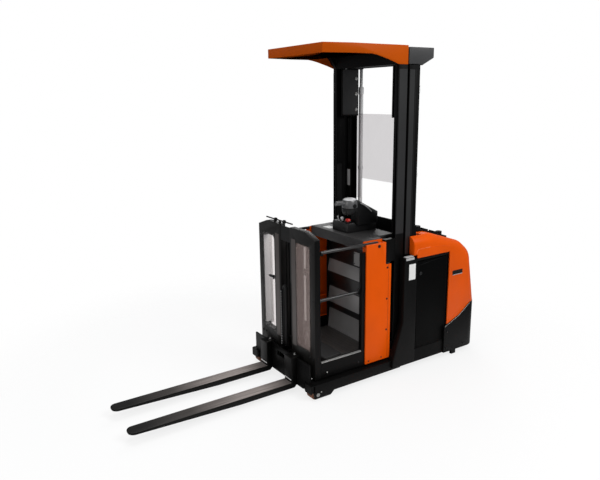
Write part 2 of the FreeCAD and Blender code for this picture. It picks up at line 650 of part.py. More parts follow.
def make_hood():
    """The moulded hood: a thin shell open below, whose two wings reach past the mast's sides."""
    side_edge = "hatch_back + hatch_gap + 2"
    wing_foot = "shroud_top + hood_seam"
    foot = [
        ("hood_wing_x", wing_foot), ("shroud_back + hood_seam", wing_foot),
        ("shroud_back + hood_seam", "rail_top + seat_gap"), (side_edge, "rail_top + seat_gap"),
        (side_edge, "bumper_start + 14 + hood_seam"), ("bumper_mid_x", "bumper_mid_top + hood_seam"),
        ("bumper_rear_x", "bumper_top + hood_seam"),
    ]
    room = [
        ("hood_wing_x + hood_wall", "bumper_start - 20"), ("bumper_mid_x", "bumper_start - 20"),
        ("hood_foot_x - hood_wall", "bumper_start - 20"),
    ]
    tail_low = amount("bumper_top") + 40
    side_low = amount("shroud_top") + 20
    bend_from = amount("hood_flat") - 1
    slope_x = amount("hood_slope_x")
    shells = []
    for name, low_line, inset in (("hood_outer", foot, "0"), ("hood_inner", room, "hood_wall")):
        body = profile(name, "XZ", low_line + hood_line(inset), f"2 * (hood_half - {inset})",
                       midplane=True)
        half = amount(f"hood_half - {inset}")
        rounded(body, f"hood_bend - {inset}", lambda edge: runs(edge, "y")
                and edge.CenterOfMass.x > bend_from
                and (edge.CenterOfMass.z > side_low or edge.CenterOfMass.x > slope_x)
                and edge.CenterOfMass.z > tail_low)
        rounded(body, f"hood_round - {inset}", lambda edge: abs(abs(edge.CenterOfMass.y) - half) < 1
                and (edge.CenterOfMass.z > side_low or edge.CenterOfMass.x > slope_x)
                and not (runs(edge, "z") and edge.CenterOfMass.x < bend_from)
                and edge.CenterOfMass.z > tail_low)
        notch = block(name + "_notch", ("hood_wing_x - 1", f"0 - wing_inner - {inset}", "0"),
                      (f"hood_front + {inset}", f"wing_inner + {inset}", "hood_top + 1"))
        shells.append(cut(name + "_notched", body, notch))
    pin_half = "(knuckle_y + knuckle_wide)"
    pieces = [cut("hood_shell", *shells)]
    pieces.append(rod("hood_pin", "hood_pin_radius", f"2 * {pin_half}",
                      ("hood_pin_x", f"0 - {pin_half}", "hood_pin_z"), "y"))
    for label, side in SIDES:
        low, high = across(side, "knuckle_y - 5 - knuckle_wide", "knuckle_y - 5")
        pieces.append(block(f"hood_lug_{label}",
                            ("hood_foot_x - hood_wall / 2", low, "hood_pin_z - hood_pin_radius"),
                            ("hood_pin_x", high, "hood_pin_z + hood_pin_radius")))
    return joined("hood", *pieces)


keep("hood", make_hood())


def make_tray():
    """The black tray that follows the hood's top, with two knobs and two ribs along each edge."""
    def surface(place):
        return f"hood_top - ({place} - hood_flat) * (hood_top - hood_slope_z) / (hood_slope_x - hood_flat)"

    outline = [
        ("tray_front", "hood_top"), ("hood_flat", "hood_top"), ("tray_back", surface("tray_back")),
        ("tray_back", "tray_thick + " + surface("tray_back")), ("hood_flat", "hood_top + tray_thick"),
        ("tray_front", "hood_top + tray_thick"),
    ]
    pieces = [profile("tray", "XZ", outline, "2 * tray_half", midplane=True)]
    first = "tray_front + knob_lead"
    last = "tray_back - 2 * knob_lead"
    ribs = ("hood_flat + rib_inset", f"{last} - knob_radius - rib_inset - rib_long")
    for label, side in SIDES:
        centre = f"{side} * (tray_half - knob_radius - rib_inset)"
        for index, (place, base) in enumerate(((first, "hood_top"),
                                               (last, surface(f"{last} + knob_radius / 2")))):
            pieces.append(rod(f"knob_{label}_{index}", "knob_radius", "knob_high",
                              (place, centre, f"{base} + tray_thick")))
        for index, start in enumerate(ribs):
            end = f"{start} + rib_long"
            low = [(start, "1 + " + surface(start)), (end, "1 + " + surface(end))]
            high = [(place, f"tray_thick + rib_high + {up}") for place, up in reversed(low)]
            pieces.append(side_plate(f"rib_{label}_{index}", side,
                                     "tray_half - rib_wide - rib_inset",
                                     "tray_half - rib_inset", low + high))
    return joined("tray_whole", *pieces)


keep("hood_tray", make_tray())


def make_drive_unit():
    """The steered drive unit: turntable, gearbox arm and the upright motor."""
    turret = rod("turret", "turret_radius", "turret_high - seat_gap",
                 ("drive_x", "0", "turret_low"))
    motor = rod("motor", "motor_radius", "motor_high",
                ("drive_x", "0", "deck_low - seat_gap"))
    arms = []
    for label, side in SIDES:
        low, high = across(side, "drive_width / 2 + 6", "drive_width / 2 + 6 + drive_side")
        arms.append(block(f"drive_arm_{label}",
                          ("drive_x - drive_axle_radius * 2", low, "drive_radius - 40"),
                          ("drive_x + drive_axle_radius * 2", high, "turret_low")))
    axle = rod("drive_axle", "drive_axle_radius", "drive_width + 12 + 2 * drive_side",
               ("drive_x", "0 - drive_width / 2 - 6 - drive_side", "drive_radius"), "y")
    return joined("drive_unit", turret, motor, axle, *arms)


keep("drive_unit", make_drive_unit())
keep("drive_wheel", make_wheel("drive_wheel", "drive_radius", "drive_width",
                               "drive_axle_radius + bore_gap",
                               ("drive_x", "0 - drive_width / 2", "drive_radius")))


def make_castor(label, side):
    """A swivelling castor: top plate, stem and the fork that trails the wheel."""
    centre = "castor_y" if side == FAR else "0 - castor_y"
    top = "castor_radius * 2 + 8"
    trail = "castor_x - castor_trail"
    plate = rod(f"castor_{label}_plate", "castor_radius - 4", "castor_plate",
                ("castor_x", centre, top))
    stem = rod(f"castor_{label}_stem", "castor_stem", "stem_length",
               ("castor_x", centre, f"{top} + castor_plate"))
    cheeks = []
    for sign in ("-", "+"):
        base = f"{centre} {sign} (castor_width / 2 + 3)"
        low = base if sign == "+" else f"{base} - castor_side"
        high = f"{base} + castor_side" if sign == "+" else base
        cheeks.append(block(f"castor_{label}_cheek_{'ab'[sign == '+']}",
                            (f"{trail} - 14", low, "castor_radius - 12"),
                            ("castor_x + 14", high, top)))
    axle = rod(f"castor_{label}_axle", "castor_axle", "castor_width + 6 + 2 * castor_side",
               (trail, f"{centre} - castor_width / 2 - 3 - castor_side", "castor_radius"), "y")
    return joined(f"castor_{label}", plate, stem, axle, *cheeks)


for label, side in SIDES:
    keep(f"castor_fork_{label}", make_castor(label, side))
    centre = "castor_y" if side == FAR else "0 - castor_y"
    wheel = make_wheel(f"castor_{label}_roller", "castor_radius", "castor_width", "castor_axle + bore_gap",
                       ("castor_x - castor_trail", f"{centre} - castor_width / 2", "castor_radius"))
    keep(f"castor_wheel_{label}", wheel)


def channel(name, side, front, deep, inner, outer, web, low, high, flange):
    """A C-section rail that stands upright with its mouth towards the centre line."""
    base = block(name + "_bar", (front, across(side, inner, outer)[0], low),
                 (f"{front} + {deep}", across(side, inner, outer)[1], high))
    mouth = across(side, f"{inner} - 1", f"{outer} - {web}")
    groove = block(name + "_mouth", (f"{front} + {flange}", mouth[0], f"{low} - 1"),
                   (f"{front} + {deep} - {flange}", mouth[1], f"{high} + 1"))
    return cut(name, base, groove)


def make_mast_outer():
    """The fixed mast: two upright channels tied across their backs."""
    pieces = []
    for label, side in SIDES:
        pieces.append(channel(f"mast_rail_{label}", side, "mast_front", "mast_deep",
                              "mast_half - mast_flange", "mast_half", "mast_web",
                              "base_bottom + plate", "mast_top", "mast_web"))
    back = "mast_back"
    for index, (low, high) in enumerate((("base_bottom + plate", "base_bottom + plate + tie_high"),
                                         ("rail_low - tie_high", "board_top"))):
        pieces.append(block(f"mast_tie_{index}", (back, "0 - mast_half", low),
                            (f"{back} + tie_thick", "mast_half", high)))
    return joined("mast_outer", *pieces)


keep("mast_outer", make_mast_outer())


def make_mast_inner():
    """The moving mast stage, nested in the mouths of the outer channels."""
    pieces = []
    front = "stage_front"
    outer = "mast_half - mast_web - slide_gap"
    for label, side in SIDES:
        pieces.append(channel(f"stage_rail_{label}", side, front,
                              "mast_deep - 2 * mast_web - 2 * slide_gap",
                              f"{outer} - inner_wide", outer, "inner_web", "stage_low",
                              "mast_top", "inner_web"))
    back = "stage_back"
    for index, low in enumerate(("stage_low", "rail_low - 2 * tie_high")):
        pieces.append(block(f"stage_tie_{index}", (f"{back} - tie_thick", f"0 - ({outer} - inner_wide)",
                                                   low),
                            (back, f"{outer} - inner_wide", f"{low} + tie_high")))
    for label, side in SIDES:
        low, high = across(side, f"{outer} - inner_wide - bracket_thick", f"{outer} - inner_wide")
        pieces.append(block(f"stage_plate_{label}", ("plate_front", low, "plate_low"),
                            (back, high, "mast_top")))
        low, high = across(side, outer, f"{outer} + slide_gap - seat_gap")
        pieces.append(block(f"stage_pad_{label}", (f"{front} + inner_web", low, "stage_low"),
                            (f"{back} - inner_web", high, f"stage_low + pad_high")))
    return joined("mast_inner", *pieces)


keep("mast_inner", make_mast_inner())


def make_head():
    """The cover over the head of the moving stage, open below."""
    outline = [
        ("head_front", "head_low"), ("head_back - head_chamfer", "head_low"),
        ("head_back", "head_low + head_step"), ("head_back", "head_top"),
        ("head_front", "head_top"),
    ]
    outer = profile("head_outer", "XZ", outline, "2 * (mast_half)", midplane=True)
    inside = [
        ("head_front + head_wall", "head_low - 1"),
        ("head_back - head_chamfer - head_wall", "head_low - 1"),
        ("head_back - head_chamfer - head_wall", "head_low + head_wall"),
        ("head_back - head_wall", "head_low + head_step + head_wall / 2"),
        ("head_back - head_wall", "head_top - head_wall"),
        ("head_front + head_wall", "head_top - head_wall"),
    ]
    inner = profile("head_inner", "XZ", inside, "2 * (mast_half - head_wall)", midplane=True)
    shell = cut("head_shell", outer, inner)
    seats = []
    front = "stage_front"
    for label, side in SIDES:
        low, high = across(side, "mast_half - mast_web - slide_gap - inner_wide",
                           "mast_half - mast_web - slide_gap")
        seats.append(block(f"head_seat_{label}", (front, low, "mast_top"),
                           ("mast_front + mast_deep + cylinder_radius * 2 + 10", high,
                            "head_top - head_wall")))
    return joined("mast_head", shell, *seats)


keep("mast_head", make_head())


def make_cylinders():
    """The two lift cylinders' barrels, behind the mast rails."""
    barrels = []
    rods = []
    for label, side in SIDES:
        centre = f"{side} * cylinder_y"
        low = "base_bottom + plate"
        barrel = rod(f"barrel_{label}", "cylinder_radius", f"cylinder_top - ({low})",
                     ("cylinder_x", centre, low))
        bore = rod(f"barrel_{label}_bore", "rod_radius + 0.5", f"cylinder_top - ({low})",
                   ("cylinder_x", centre, f"{low} + 20"))
        barrels.append(cut(f"barrel_{label}_tube", barrel, bore))
        rods.append(rod(f"rod_{label}", "rod_radius", f"mast_top - (stage_low)",
                        ("cylinder_x", centre, "stage_low")))
    keep("lift_cylinders", grouped("lift_cylinders", *barrels))
    keep("lift_rods", grouped("lift_rods", *rods))


make_cylinders()


def make_cab_floor():
    """The cab's floor: a deep rim round a sunken pan, open below."""
    outer = block("floor_outer", ("floor_front", "0 - cab_half", "floor_low"),
                  ("guard_back", "cab_half", "floor_top"))
    pan = block("floor_pan", ("pan_front", "0 - (cab_half - side_pillar)", "pan_top"),
                ("pan_back", "cab_half - side_pillar", "floor_top + 1"))
    under_front = block("floor_under_front",
                        ("floor_front + plate", "0 - cab_half + plate", "floor_low - 1"),
                        ("pan_front - plate", "cab_half - plate", "under_top"))
    under_pan = block("floor_under_pan",
                      ("floor_front + plate", "0 - cab_half + plate", "floor_low - 1"),
                      ("pan_back", "cab_half - plate", "pan_top - floor_sheet"))
    under_back = block("floor_under_back",
                       ("pan_back + plate", "0 - cab_half + plate", "floor_low - 1"),
                       ("guard_back - plate", "cab_half - plate", "under_top"))
    well = block("floor_well", ("floor_front - 1", "0 - (rail_inner + rail_wide + seat_gap)",
                                "floor_low - 2"),
                 ("pan_front", "rail_inner + rail_wide + seat_gap", "floor_top + 1"))
    return cut("cab_floor", outer, pan, under_front, under_pan, under_back, well)


keep("cab_floor", make_cab_floor())
keep("floor_mat", block("floor_mat",
                        ("rail_front + rail_deep + mat_margin", "0 - cab_half + side_pillar + 2",
                         "pan_top"),
                        ("knee_front - 2", "cab_half - side_pillar - 2",
                         "pan_top + mat_thick")))


def make_posts():
    """The two cab posts that carry the overhead guard, each with a box beside the desk."""
    posts = []
    for label, side in SIDES:
        low, high = across(side, "mast_half - post_wide", "mast_half")
        post = block(f"post_{label}", ("post_front", low, "floor_top"),
                     ("guard_back", high, "post_top"))
        low, high = across(side, "mast_half - post_wide", "cab_half")
        shelf = block(f"shelf_{label}", ("panel_back + seat_gap", low, "panel_step + shelf_rise"),
                      ("post_front", high, "panel_top + shelf_rise"))
        posts.append(joined(f"post_{label}_whole", post, shelf))
    return grouped("posts", *posts)


keep("cab_posts", make_posts())


def make_brackets():
    """The roller brackets that hold the cab in the moving stage's channels."""
    brackets = []
    inner = "mast_half - mast_web - slide_gap - inner_wide"
    face = f"{inner} - running_gap / 2"
    for label, side in SIDES:
        name = f"bracket_{label}"
        low, high = across(side, f"{face} - bracket_thick", face)
        pieces = [block(name + "_plate", ("post_front", low, "floor_top"),
                        ("bracket_back", high, "bracket_top"))]
        low, high = across(side, face, "mast_half - post_wide")
        pieces.append(block(name + "_spacer", ("post_front", low, "floor_top"),
                            ("guard_back", high, "bracket_top")))
        for index, up in enumerate(("floor_top + 60", "bracket_top - 60")):
            for kind, radius, start in (("axle", "roller_axle", face),
                                        ("roller", "roller_radius", f"{inner} + 6")):
                low, high = across(side, start, "mast_half - mast_flange - 2")
                pieces.append(rod(f"{name}_{kind}_{index}", radius, f"({high}) - ({low})",
                                  ("rail_middle", low, up), "y"))
        brackets.append(joined(name, *pieces))
    return grouped("brackets", *brackets)


keep("roller_brackets", make_brackets())


def make_side_panel(label, side):
    """A painted side panel of the cab with the inner cheek that hides the upper bar's pivot."""
    outline = [
        ("panel_front", "panel_low"), ("panel_strip", "panel_low"), ("panel_strip", "panel_step"),
        ("panel_back", "panel_step"), ("panel_back", "panel_top"), ("panel_front", "panel_top"),
    ]
    sheet_metal = side_plate(f"panel_{label}", side, "cab_half", "cab_half + panel_thick", outline)
    low, high = across(side, "cab_half - 1", "cab_half + panel_thick + 1")
    hole = rod(f"panel_{label}_hole", "pin_radius + bore_gap", "panel_thick + 2",
               ("bar_pivot_x", low, "bar_pin_z"), "y")
    pieces = [cut(f"panel_{label}_bored", sheet_metal, hole)]
    low, high = across(side, "cheek_inner", "cheek_outer")
    pieces.append(block(f"cheek_{label}", ("panel_front + cheek_lead", low, "panel_step"),
                        ("panel_back", high, "cheek_top")))
    low, high = across(side, "cheek_outer", "cab_half")
    pieces.append(block(f"cheek_{label}_back", ("panel_back - cheek_thick", low, "panel_step"),
                        ("panel_back", high, "panel_top")))
    pieces.append(block(f"cheek_{label}_front", ("panel_front + cheek_lead", low, "pillar_top + 1"),
                        ("panel_front + cheek_lead + cheek_thick", high,
                         "bar_top_z - bar_radius - running_gap")))
    return joined(f"panel_{label}_whole", *pieces)


for label, side in SIDES:
    keep(f"side_panel_{label}", make_side_panel(label, side))


def make_pillars():
    """The black posts at the front edges of the side panels."""
    pillars = []
    for label, side in SIDES:
        low, high = across(side, "cab_half - side_pillar", "cab_half")
        post = block(f"pillar_{label}", ("pillar_front", low, "floor_top"),
                     ("pillar_front + pillar_deep", high, "pillar_top"))
        hole = rod(f"pillar_{label}_hole", "pin_radius + bore_gap", "side_pillar + 2",
                   ("bar_low_pivot_x", f"{low} - 1", "bar_low_z"), "y")
        pillars.append(cut(f"pillar_{label}_whole", post, hole))
    return grouped("pillars", *pillars)


keep("side_pillars", make_pillars())


def make_top_rod():
    """The thin rod on two short posts above the front frames."""
    line = "frame_front + rod_post"
    height = "frame_top + rod_rise"
    pieces = [rod("top_rod", "rod_thick", "rod_near + rod_far", (line, "0 - rod_near", height), "y")]
    for index, place in enumerate(("frame_inner + rod_post", "frame_inner + rod_post * 6")):
        pieces.append(block(f"top_rod_post_{index}", (f"{line} - rod_post / 2", place, "frame_top"),
                            (f"{line} + rod_post / 2", f"{place} + rod_post", height)))
    return pieces


def make_frame(label, side):
    """A front frame of the cab with its window opening."""
    outer = f"{side} * cab_half"
    outline = [
        (f"{side} * frame_inner", "stage_low"), (outer, "stage_low"),
        (outer, "frame_top - frame_slope_drop"),
        (f"{side} * (cab_half - frame_slope_wide)", "frame_top"),
        (f"{side} * frame_inner", "frame_top"),
    ]
    window = rectangle(f"{side} * window_inner", f"{side} * window_outer", "window_low",
                       "window_top")
    body = cross_plate(f"frame_{label}", "frame_front", "floor_front - frame_front", outline,
                       [window])
    window_low = amount("window_low")
    window_top = amount("window_top")
    rounded(body, "frame_round", lambda edge: runs(edge, "x")
            and window_low - 1 < edge.CenterOfMass.z < window_top + 1)
    rests = []
    for place, line, height in (("upper", "upper_bar_y", "bar_top_z"), ("lower", "lower_bar_y",
                                                                      "bar_low_z")):
        low, high = across(side, f"{line} - bar_radius", f"{line} + bar_radius")
        rests.append(block(f"rest_{label}_{place}",
                           ("floor_front", low, f"{height} - bar_radius - 8"),
                           ("bar_front + 20", high, f"{height} - bar_radius - 0.3")))
    if side == FAR:
        rests += make_top_rod()
    return joined(f"frame_{label}_whole", body, *rests)


for label, side in SIDES:
    keep(f"front_frame_{label}", make_frame(label, side))


def make_panes():
    """The two clear window panes, clamped behind the frames' openings."""
    panes = []
    for label, side in SIDES:
        low, high = across(side, "window_inner - pane_lap", "window_outer + pane_lap")
        panes.append(block(f"pane_{label}", ("floor_front", low, "window_low - pane_lap"),
                           ("floor_front + pane_thick", high, "window_top + pane_lap")))
    return grouped("panes", *panes)


keep("windows", make_panes())


def make_fork_mast():
    """The short mast behind the frames on which the fork carriage climbs."""
    pieces = []
    for label, side in SIDES:
        pieces.append(channel(f"fork_rail_{label}", side, "rail_front", "rail_deep", "rail_inner",
                              "rail_inner + rail_wide", "rail_wide / 4", "fork_rail_low",
                              "fork_rail_top", "rail_wide / 4"))
    for index, low in enumerate(("fork_rail_low", "hose_low + 30",
                                 "fork_rail_top - 40")):
        pieces.append(block(f"fork_mast_tie_{index}",
                            ("rail_front + rail_deep", "0 - rail_inner - rail_wide", low),
                            ("rail_front + rail_deep + 8", "rail_inner + rail_wide",
                             f"{low} + 40")))
    for label, side in SIDES:
        for index, low in enumerate(("stage_low", "fork_rail_top - 60")):
            y_low, y_high = across(side, "frame_inner", "rail_inner + rail_wide")
            pieces.append(block(f"fork_mast_seat_{label}_{index}", ("floor_front", y_low, low),
                                ("rail_front", y_high, f"{low} + 50")))
    pieces.append(block("hose_bracket", ("hose_x + hose_radius + seat_gap",
                                         "0 - hose_reach", "hose_low + 40"),
                        ("rail_front + rail_deep", "hose_reach", "hose_low + 60")))
    return joined("fork_mast", *pieces)


keep("fork_mast", make_fork_mast())


def make_hose():
    """The hydraulic hose loop in the gap between the frames."""
    pieces = []
    for index, sign in enumerate(("-", "+")):
        pieces.append(rod(f"hose_leg_{index}", "hose_radius", "hose_top - hose_low",
                          ("hose_x", f"0 {sign} hose_reach", "hose_low")))
    bend = doc.addObject("Part::Torus", "hose_bend")
    bend.Angle3 = 180
    bend.Placement.Rotation = FreeCAD.Rotation(FreeCAD.Vector(1, 1, 1), 120)
    tie(bend, Radius1="hose_reach", Radius2="hose_radius")
    tie(bend, x=f"{HEEL} + hose_x", z="hose_top")
    return joined("hose", bend, *pieces)


keep("hose_loop", make_hose())


def make_desk():
    """The console desk across the cab, with a deep front lip and a tongue between the posts."""
    low = "desk_top - desk_thick"
    top = block("desk_top_plate", ("desk_front", "0 - desk_half", low),
                ("panel_back", "desk_half", "desk_top"))
    tongue = block("desk_tongue", ("panel_back", "0 - tongue_half", low),
                   ("guard_back - seat_gap", "tongue_half", "desk_top"))
    lip = block("desk_lip_plate", ("desk_front", "0 - desk_half", "desk_top - desk_lip"),
                ("desk_front + desk_thick", "desk_half", low))
    return joined("desk", top, tongue, lip)


def make_knee_panel():
    """The folded wall under the desk that closes the cab's mast side."""
    folded = "knee_front + knee_step"
    outline = [
        ("knee_front", "pan_top"), ("pan_back - 1", "pan_top"), ("pan_back - 1", "floor_top"),
        ("post_front", "floor_top"), ("post_front", "desk_top - desk_thick"),
        (folded, "desk_top - desk_thick"), (folded, "knee_fold"),
        ("knee_front", "knee_fold - knee_high"),
        (folded, "knee_fold - knee_high - knee_pitch"),
        ("knee_front", "knee_fold - knee_high - 2 * knee_pitch"),
        (folded, "knee_fold - 1.6 * knee_high - 2 * knee_pitch"),
    ]
    body = profile("knee_panel", "XZ", outline, "2 * desk_half", midplane=True)
    return body


def make_control_box():
    """The low box on the desk with its raised switch panel in front."""
    outline = [
        ("box_front", "desk_top"), ("box_back", "desk_top"), ("box_back", "box_top"),
        ("brow_back", "box_top"),
        ("box_front + box_brow_deep", "box_top + box_brow"), ("box_front + 6", "box_top + box_brow"),
        ("box_front", "box_top + box_brow - 10"),
    ]
    body = side_plate("control_box", FAR, "0 - box_near", "box_far", outline)
    return body


keep("desk", make_desk())
keep("knee_panel", make_knee_panel())
keep("control_box", make_control_box())


def make_steering():
    """The steering unit: a domed cap with its lever, and a thick grip that slopes down behind."""
    body_top = "cap_top - cap_crown"
    fall = "grip_high - grip_fall"
    outline = [
        ("brow_back", "box_top"), ("grip_back", "box_top"),
        ("grip_back", f"desk_top + {fall}"), ("grip_front", "desk_top + grip_high"),
        ("cap_x", "desk_top + grip_high"), ("cap_x", f"desk_top + {fall}"),
        ("brow_back", f"desk_top + {fall} - box_brow"),
    ]
    grip = profile("steer_grip", "XZ", outline, "2 * steer_half", midplane=True)
    tie(grip, y="steer_y")
    grip_low = amount("desk_top + box_high") + 1
    rounded(grip, "grip_round", lambda edge: edge.CenterOfMass.z > grip_low
            and abs(abs(edge.CenterOfMass.y) - amount("steer_half")) < 1
            and edge.CenterOfMass.x > amount("grip_front"))
    cap = rod("steer_cap", "cap_radius", "cap_high - cap_crown", ("cap_x", "steer_y", "cap_low"))
    crown = doc.addObject("Part::Cone", "steer_crown")
    tie(crown, Radius1="cap_radius", Radius2="cap_radius - cap_crown", Height="cap_crown")
    tie(crown, x=f"{HEEL} + cap_x", y="steer_y", z=body_top)
    lever = rod("steer_lever", "lever_radius", "cap_radius + lever_reach",
                ("cap_x - cap_radius - lever_reach", "steer_y", f"{body_top} - lever_drop"), "x")
    return joined("steering", grip, cap, crown, lever)


keep("steering_unit", make_steering())


def make_bar(label, side, place, pivot, height, pin_height):
    """One gate bar of a cab side, with its eye at the pivot."""
    line = "upper_bar_y" if place == "upper" else "lower_bar_y"
    y_line = f"0 - ({line})" if side == NEAR else line
    name = f"bar_{label}_{place}"
    tube = rod(name + "_tube", "bar_radius", f"{pivot} - bar_front", ("bar_front", y_line, height), "x")
    eye = rod(name + "_eye", "bar_eye", "2 * bar_radius",
              (pivot, f"{y_line} - bar_radius", pin_height), "y")
    reach = "panel_thick" if place == "upper" else "side_pillar / 2"
    low, high = across(side, line, f"{line} + bar_radius + 3 + {reach}")
    pin = rod(name + "_pin", "pin_radius", f"({high}) - ({low})", (pivot, low, pin_height), "y")
    whole = joined(name, tube, eye, pin)
    whole.Refine = False
    return whole


for label, side in SIDES:
    keep(f"gate_bar_upper_{label}",
         make_bar(label, side, "upper", "bar_pivot_x", "bar_top_z", "bar_pin_z"))
    keep(f"gate_bar_lower_{label}",
         make_bar(label, side, "lower", "bar_low_pivot_x", "bar_low_z", "bar_low_z"))


def guard_plan(inset):
    """The overhead guard's plan: a straight nose with splayed corners."""
    return [
        (f"guard_front + {inset}", f"0 - guard_nose + {inset} / 2"),
        (f"guard_side_x + {inset} / 2", f"0 - cab_half - 2 + {inset}"),
        ("guard_back", f"0 - cab_half - 2 + {inset}"), ("guard_back", f"mast_half - {inset}"),
        (f"guard_side_x + {inset} / 2", f"mast_half - {inset}"),
        (f"guard_front + {inset}", f"guard_nose - {inset} / 2"),
    ]


def make_guard():
    """The overhead guard's roof sheet with its deep painted rim."""
    solid = floor_plate("guard_solid", "guard_top - guard_arc_low", "guard_arc_low",
                        guard_plan("0"))
    hollow = floor_plate("guard_hollow", "guard_top - guard_arc_low - 1",
                         "guard_arc_low + 1 - roof_thick", guard_plan("rim_wall"))
    open_back = block("guard_open_back",
                      ("guard_back - rim_wall - 1", "0 - cab_half - 2 + rim_wall",
                       "guard_top - guard_arc_low - 1"),
                      ("guard_back + 1", "mast_half - rim_wall", "guard_top - roof_thick"))
    low_line = [
        ("guard_front - 10", "guard_top - guard_arc_low - 10"),
        ("post_front", "guard_top - guard_arc_low - 10"),
    ]
    for share in (1, 0.8, 0.6, 0.4, 0.2, 0):
        low_line.append((f"guard_arc_x + guard_arc_lead * {share}",
                         f"guard_top - guard_rim - (guard_arc_low - guard_rim) * {share ** 1.3:.3f}"))
    low_line.append(("guard_front - 10", "guard_top - guard_rim"))
    below = profile("guard_below", "XZ", low_line, "2 * cab_half + 40", midplane=True)
    return cut("guard", solid, hollow, open_back, below)


keep("overhead_guard", make_guard())


def make_struts():
    """The dark frame under the roof: two long struts and a cross member between the posts."""
    pieces = []
    top = "guard_top - roof_thick"
    for label, side in SIDES:
        low, high = across(side, "guard_nose - 60 - strut_wide", "guard_nose - 60")
        pieces.append(block(f"strut_{label}", ("guard_front + 20", low, f"{top} - strut_high"),
                            ("guard_back", high, top)))
    pieces.append(block("strut_front", ("guard_front + 20", "0 - guard_nose + 60",
                                        f"{top} - strut_high"),
                        ("guard_front + 60", "guard_nose - 60", top)))
    pieces.append(block("strut_rear", ("post_front", "0 - cab_half + rim_wall", "post_top"),
                        ("guard_back", "cab_half - rim_wall", top)))
    for label, side in SIDES:
        outline = [("post_front", "post_top"), ("post_front", top),
                   ("post_front - gusset_deep", top)]
        pieces.append(side_plate(f"gusset_{label}", side, "mast_half - post_wide",
                                 "cab_half - rim_wall", outline))
    return joined("struts", *pieces)


keep("guard_struts", make_struts())
keep("guard_lamp", rod("guard_lamp", "lamp_radius", "lamp_high",
                       ("lamp_x", "lamp_y", "guard_top - roof_thick - lamp_high")))


def make_screen():
    """The clear screen at the operator's back, cut away between two legs."""
    half = "screen_half"
    outline = [
        (f"0 - ({half})", "screen_low"), ("0 - screen_leg", "screen_low"),
        ("0 - screen_leg", "screen_cut"), ("screen_leg", "screen_cut"),
        ("screen_leg", "screen_low"), (half, "screen_low"), (half, "screen_top"),
        (f"0 - ({half})", "screen_top"),
    ]
    body = cross_plate("screen", "mast_back", "screen_thick", outline)
    return rounded(body, "screen_round", lambda edge: runs(edge, "x")
                   and abs(edge.CenterOfMass.z - amount("screen_cut")) < 1)


keep("back_screen", make_screen())

doc.recompute()
failed = [item.Name for item in doc.Objects if "Invalid" in item.State or "Error" in item.State]
for name, piece in parts.items():
    if piece.Shape.isNull() or not piece.Shape.isValid():
        failed.append(name)
if failed:
    raise RuntimeError("these objects failed: " + ", ".join(failed))

os.makedirs("parts", exist_ok=True)
for name, piece in parts.items():
    piece.Shape.exportStep(f"parts/{name}.step")
print(len(parts), "parts written")
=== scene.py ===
# %% [markdown]
# # A high level order picking truck
# The operator of this truck stands in a cab that climbs the mast together with the forks. The
# solids of the machine come packed from the CAD model and are never moved or reshaped. This script
# gives each of them its finish, softens its edges, and adds the small things a maker screws, glues
# or prints on: bolts, seams, hoses, rubber, labels with nothing on them.
#
# Lengths are metres, +X runs from the fork tips to the drive unit, +Z is up, and "near" is the
# side of low Y.

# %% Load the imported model
import json
import math

import bmesh
import bpy
from mathutils import Matrix, Quaternion, Vector
from mathutils.bvhtree import BVHTree

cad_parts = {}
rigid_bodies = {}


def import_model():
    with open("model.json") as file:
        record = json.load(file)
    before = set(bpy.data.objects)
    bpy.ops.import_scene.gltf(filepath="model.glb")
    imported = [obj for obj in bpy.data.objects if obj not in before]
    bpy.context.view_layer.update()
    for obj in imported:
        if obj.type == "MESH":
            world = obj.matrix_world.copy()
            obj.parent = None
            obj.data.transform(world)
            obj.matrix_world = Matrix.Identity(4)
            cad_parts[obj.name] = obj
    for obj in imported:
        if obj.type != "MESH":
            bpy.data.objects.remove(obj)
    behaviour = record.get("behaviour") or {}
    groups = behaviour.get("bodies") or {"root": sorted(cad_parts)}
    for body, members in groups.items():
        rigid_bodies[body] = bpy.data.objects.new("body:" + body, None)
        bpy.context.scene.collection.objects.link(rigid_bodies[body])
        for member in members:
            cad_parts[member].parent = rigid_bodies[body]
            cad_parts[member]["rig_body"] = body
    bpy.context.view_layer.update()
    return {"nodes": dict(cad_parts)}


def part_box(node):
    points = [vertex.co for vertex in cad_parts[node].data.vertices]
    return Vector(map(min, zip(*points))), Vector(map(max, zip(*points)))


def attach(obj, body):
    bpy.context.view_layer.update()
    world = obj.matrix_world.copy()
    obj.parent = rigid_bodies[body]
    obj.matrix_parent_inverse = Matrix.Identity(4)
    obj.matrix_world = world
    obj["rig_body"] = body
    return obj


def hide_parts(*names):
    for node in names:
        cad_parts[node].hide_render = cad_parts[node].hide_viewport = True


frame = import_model()

# %% [markdown]
# The camera comes first, because every choice of detail depends on how large a thing shows. A
# 35 mm lens stands a little above eye height, off the near corner of the forks. A camera could be
# aimed with a Track To constraint, but a plain rotation from the view direction keeps it free of
# other objects. Turning it a little about its own axis gives the slight lean of a hand held shot.

# %% The camera
EYE = Vector((-2.267, -3.429, 2.023))
AZIMUTH = math.radians(33.2)
DIP = math.radians(13.6)
LEAN = math.radians(-0.8)
LENS = 35.5

level = math.cos(DIP)
look = Vector((math.sin(AZIMUTH) * level, math.cos(AZIMUTH) * level, -math.sin(DIP)))
camera = bpy.data.objects.new("camera", bpy.data.cameras.new("camera"))
camera.data.lens = LENS
camera.location = EYE
camera.rotation_mode = "QUATERNION"
camera.rotation_quaternion = look.to_track_quat("-Z", "Y") @ Quaternion((0, 0, 1), LEAN)
bpy.context.scene.collection.objects.link(camera)
bpy.context.scene.camera = camera
bpy.context.scene.view_settings.view_transform = "Standard"
print("camera looks along", [round(v, 3) for v in look])

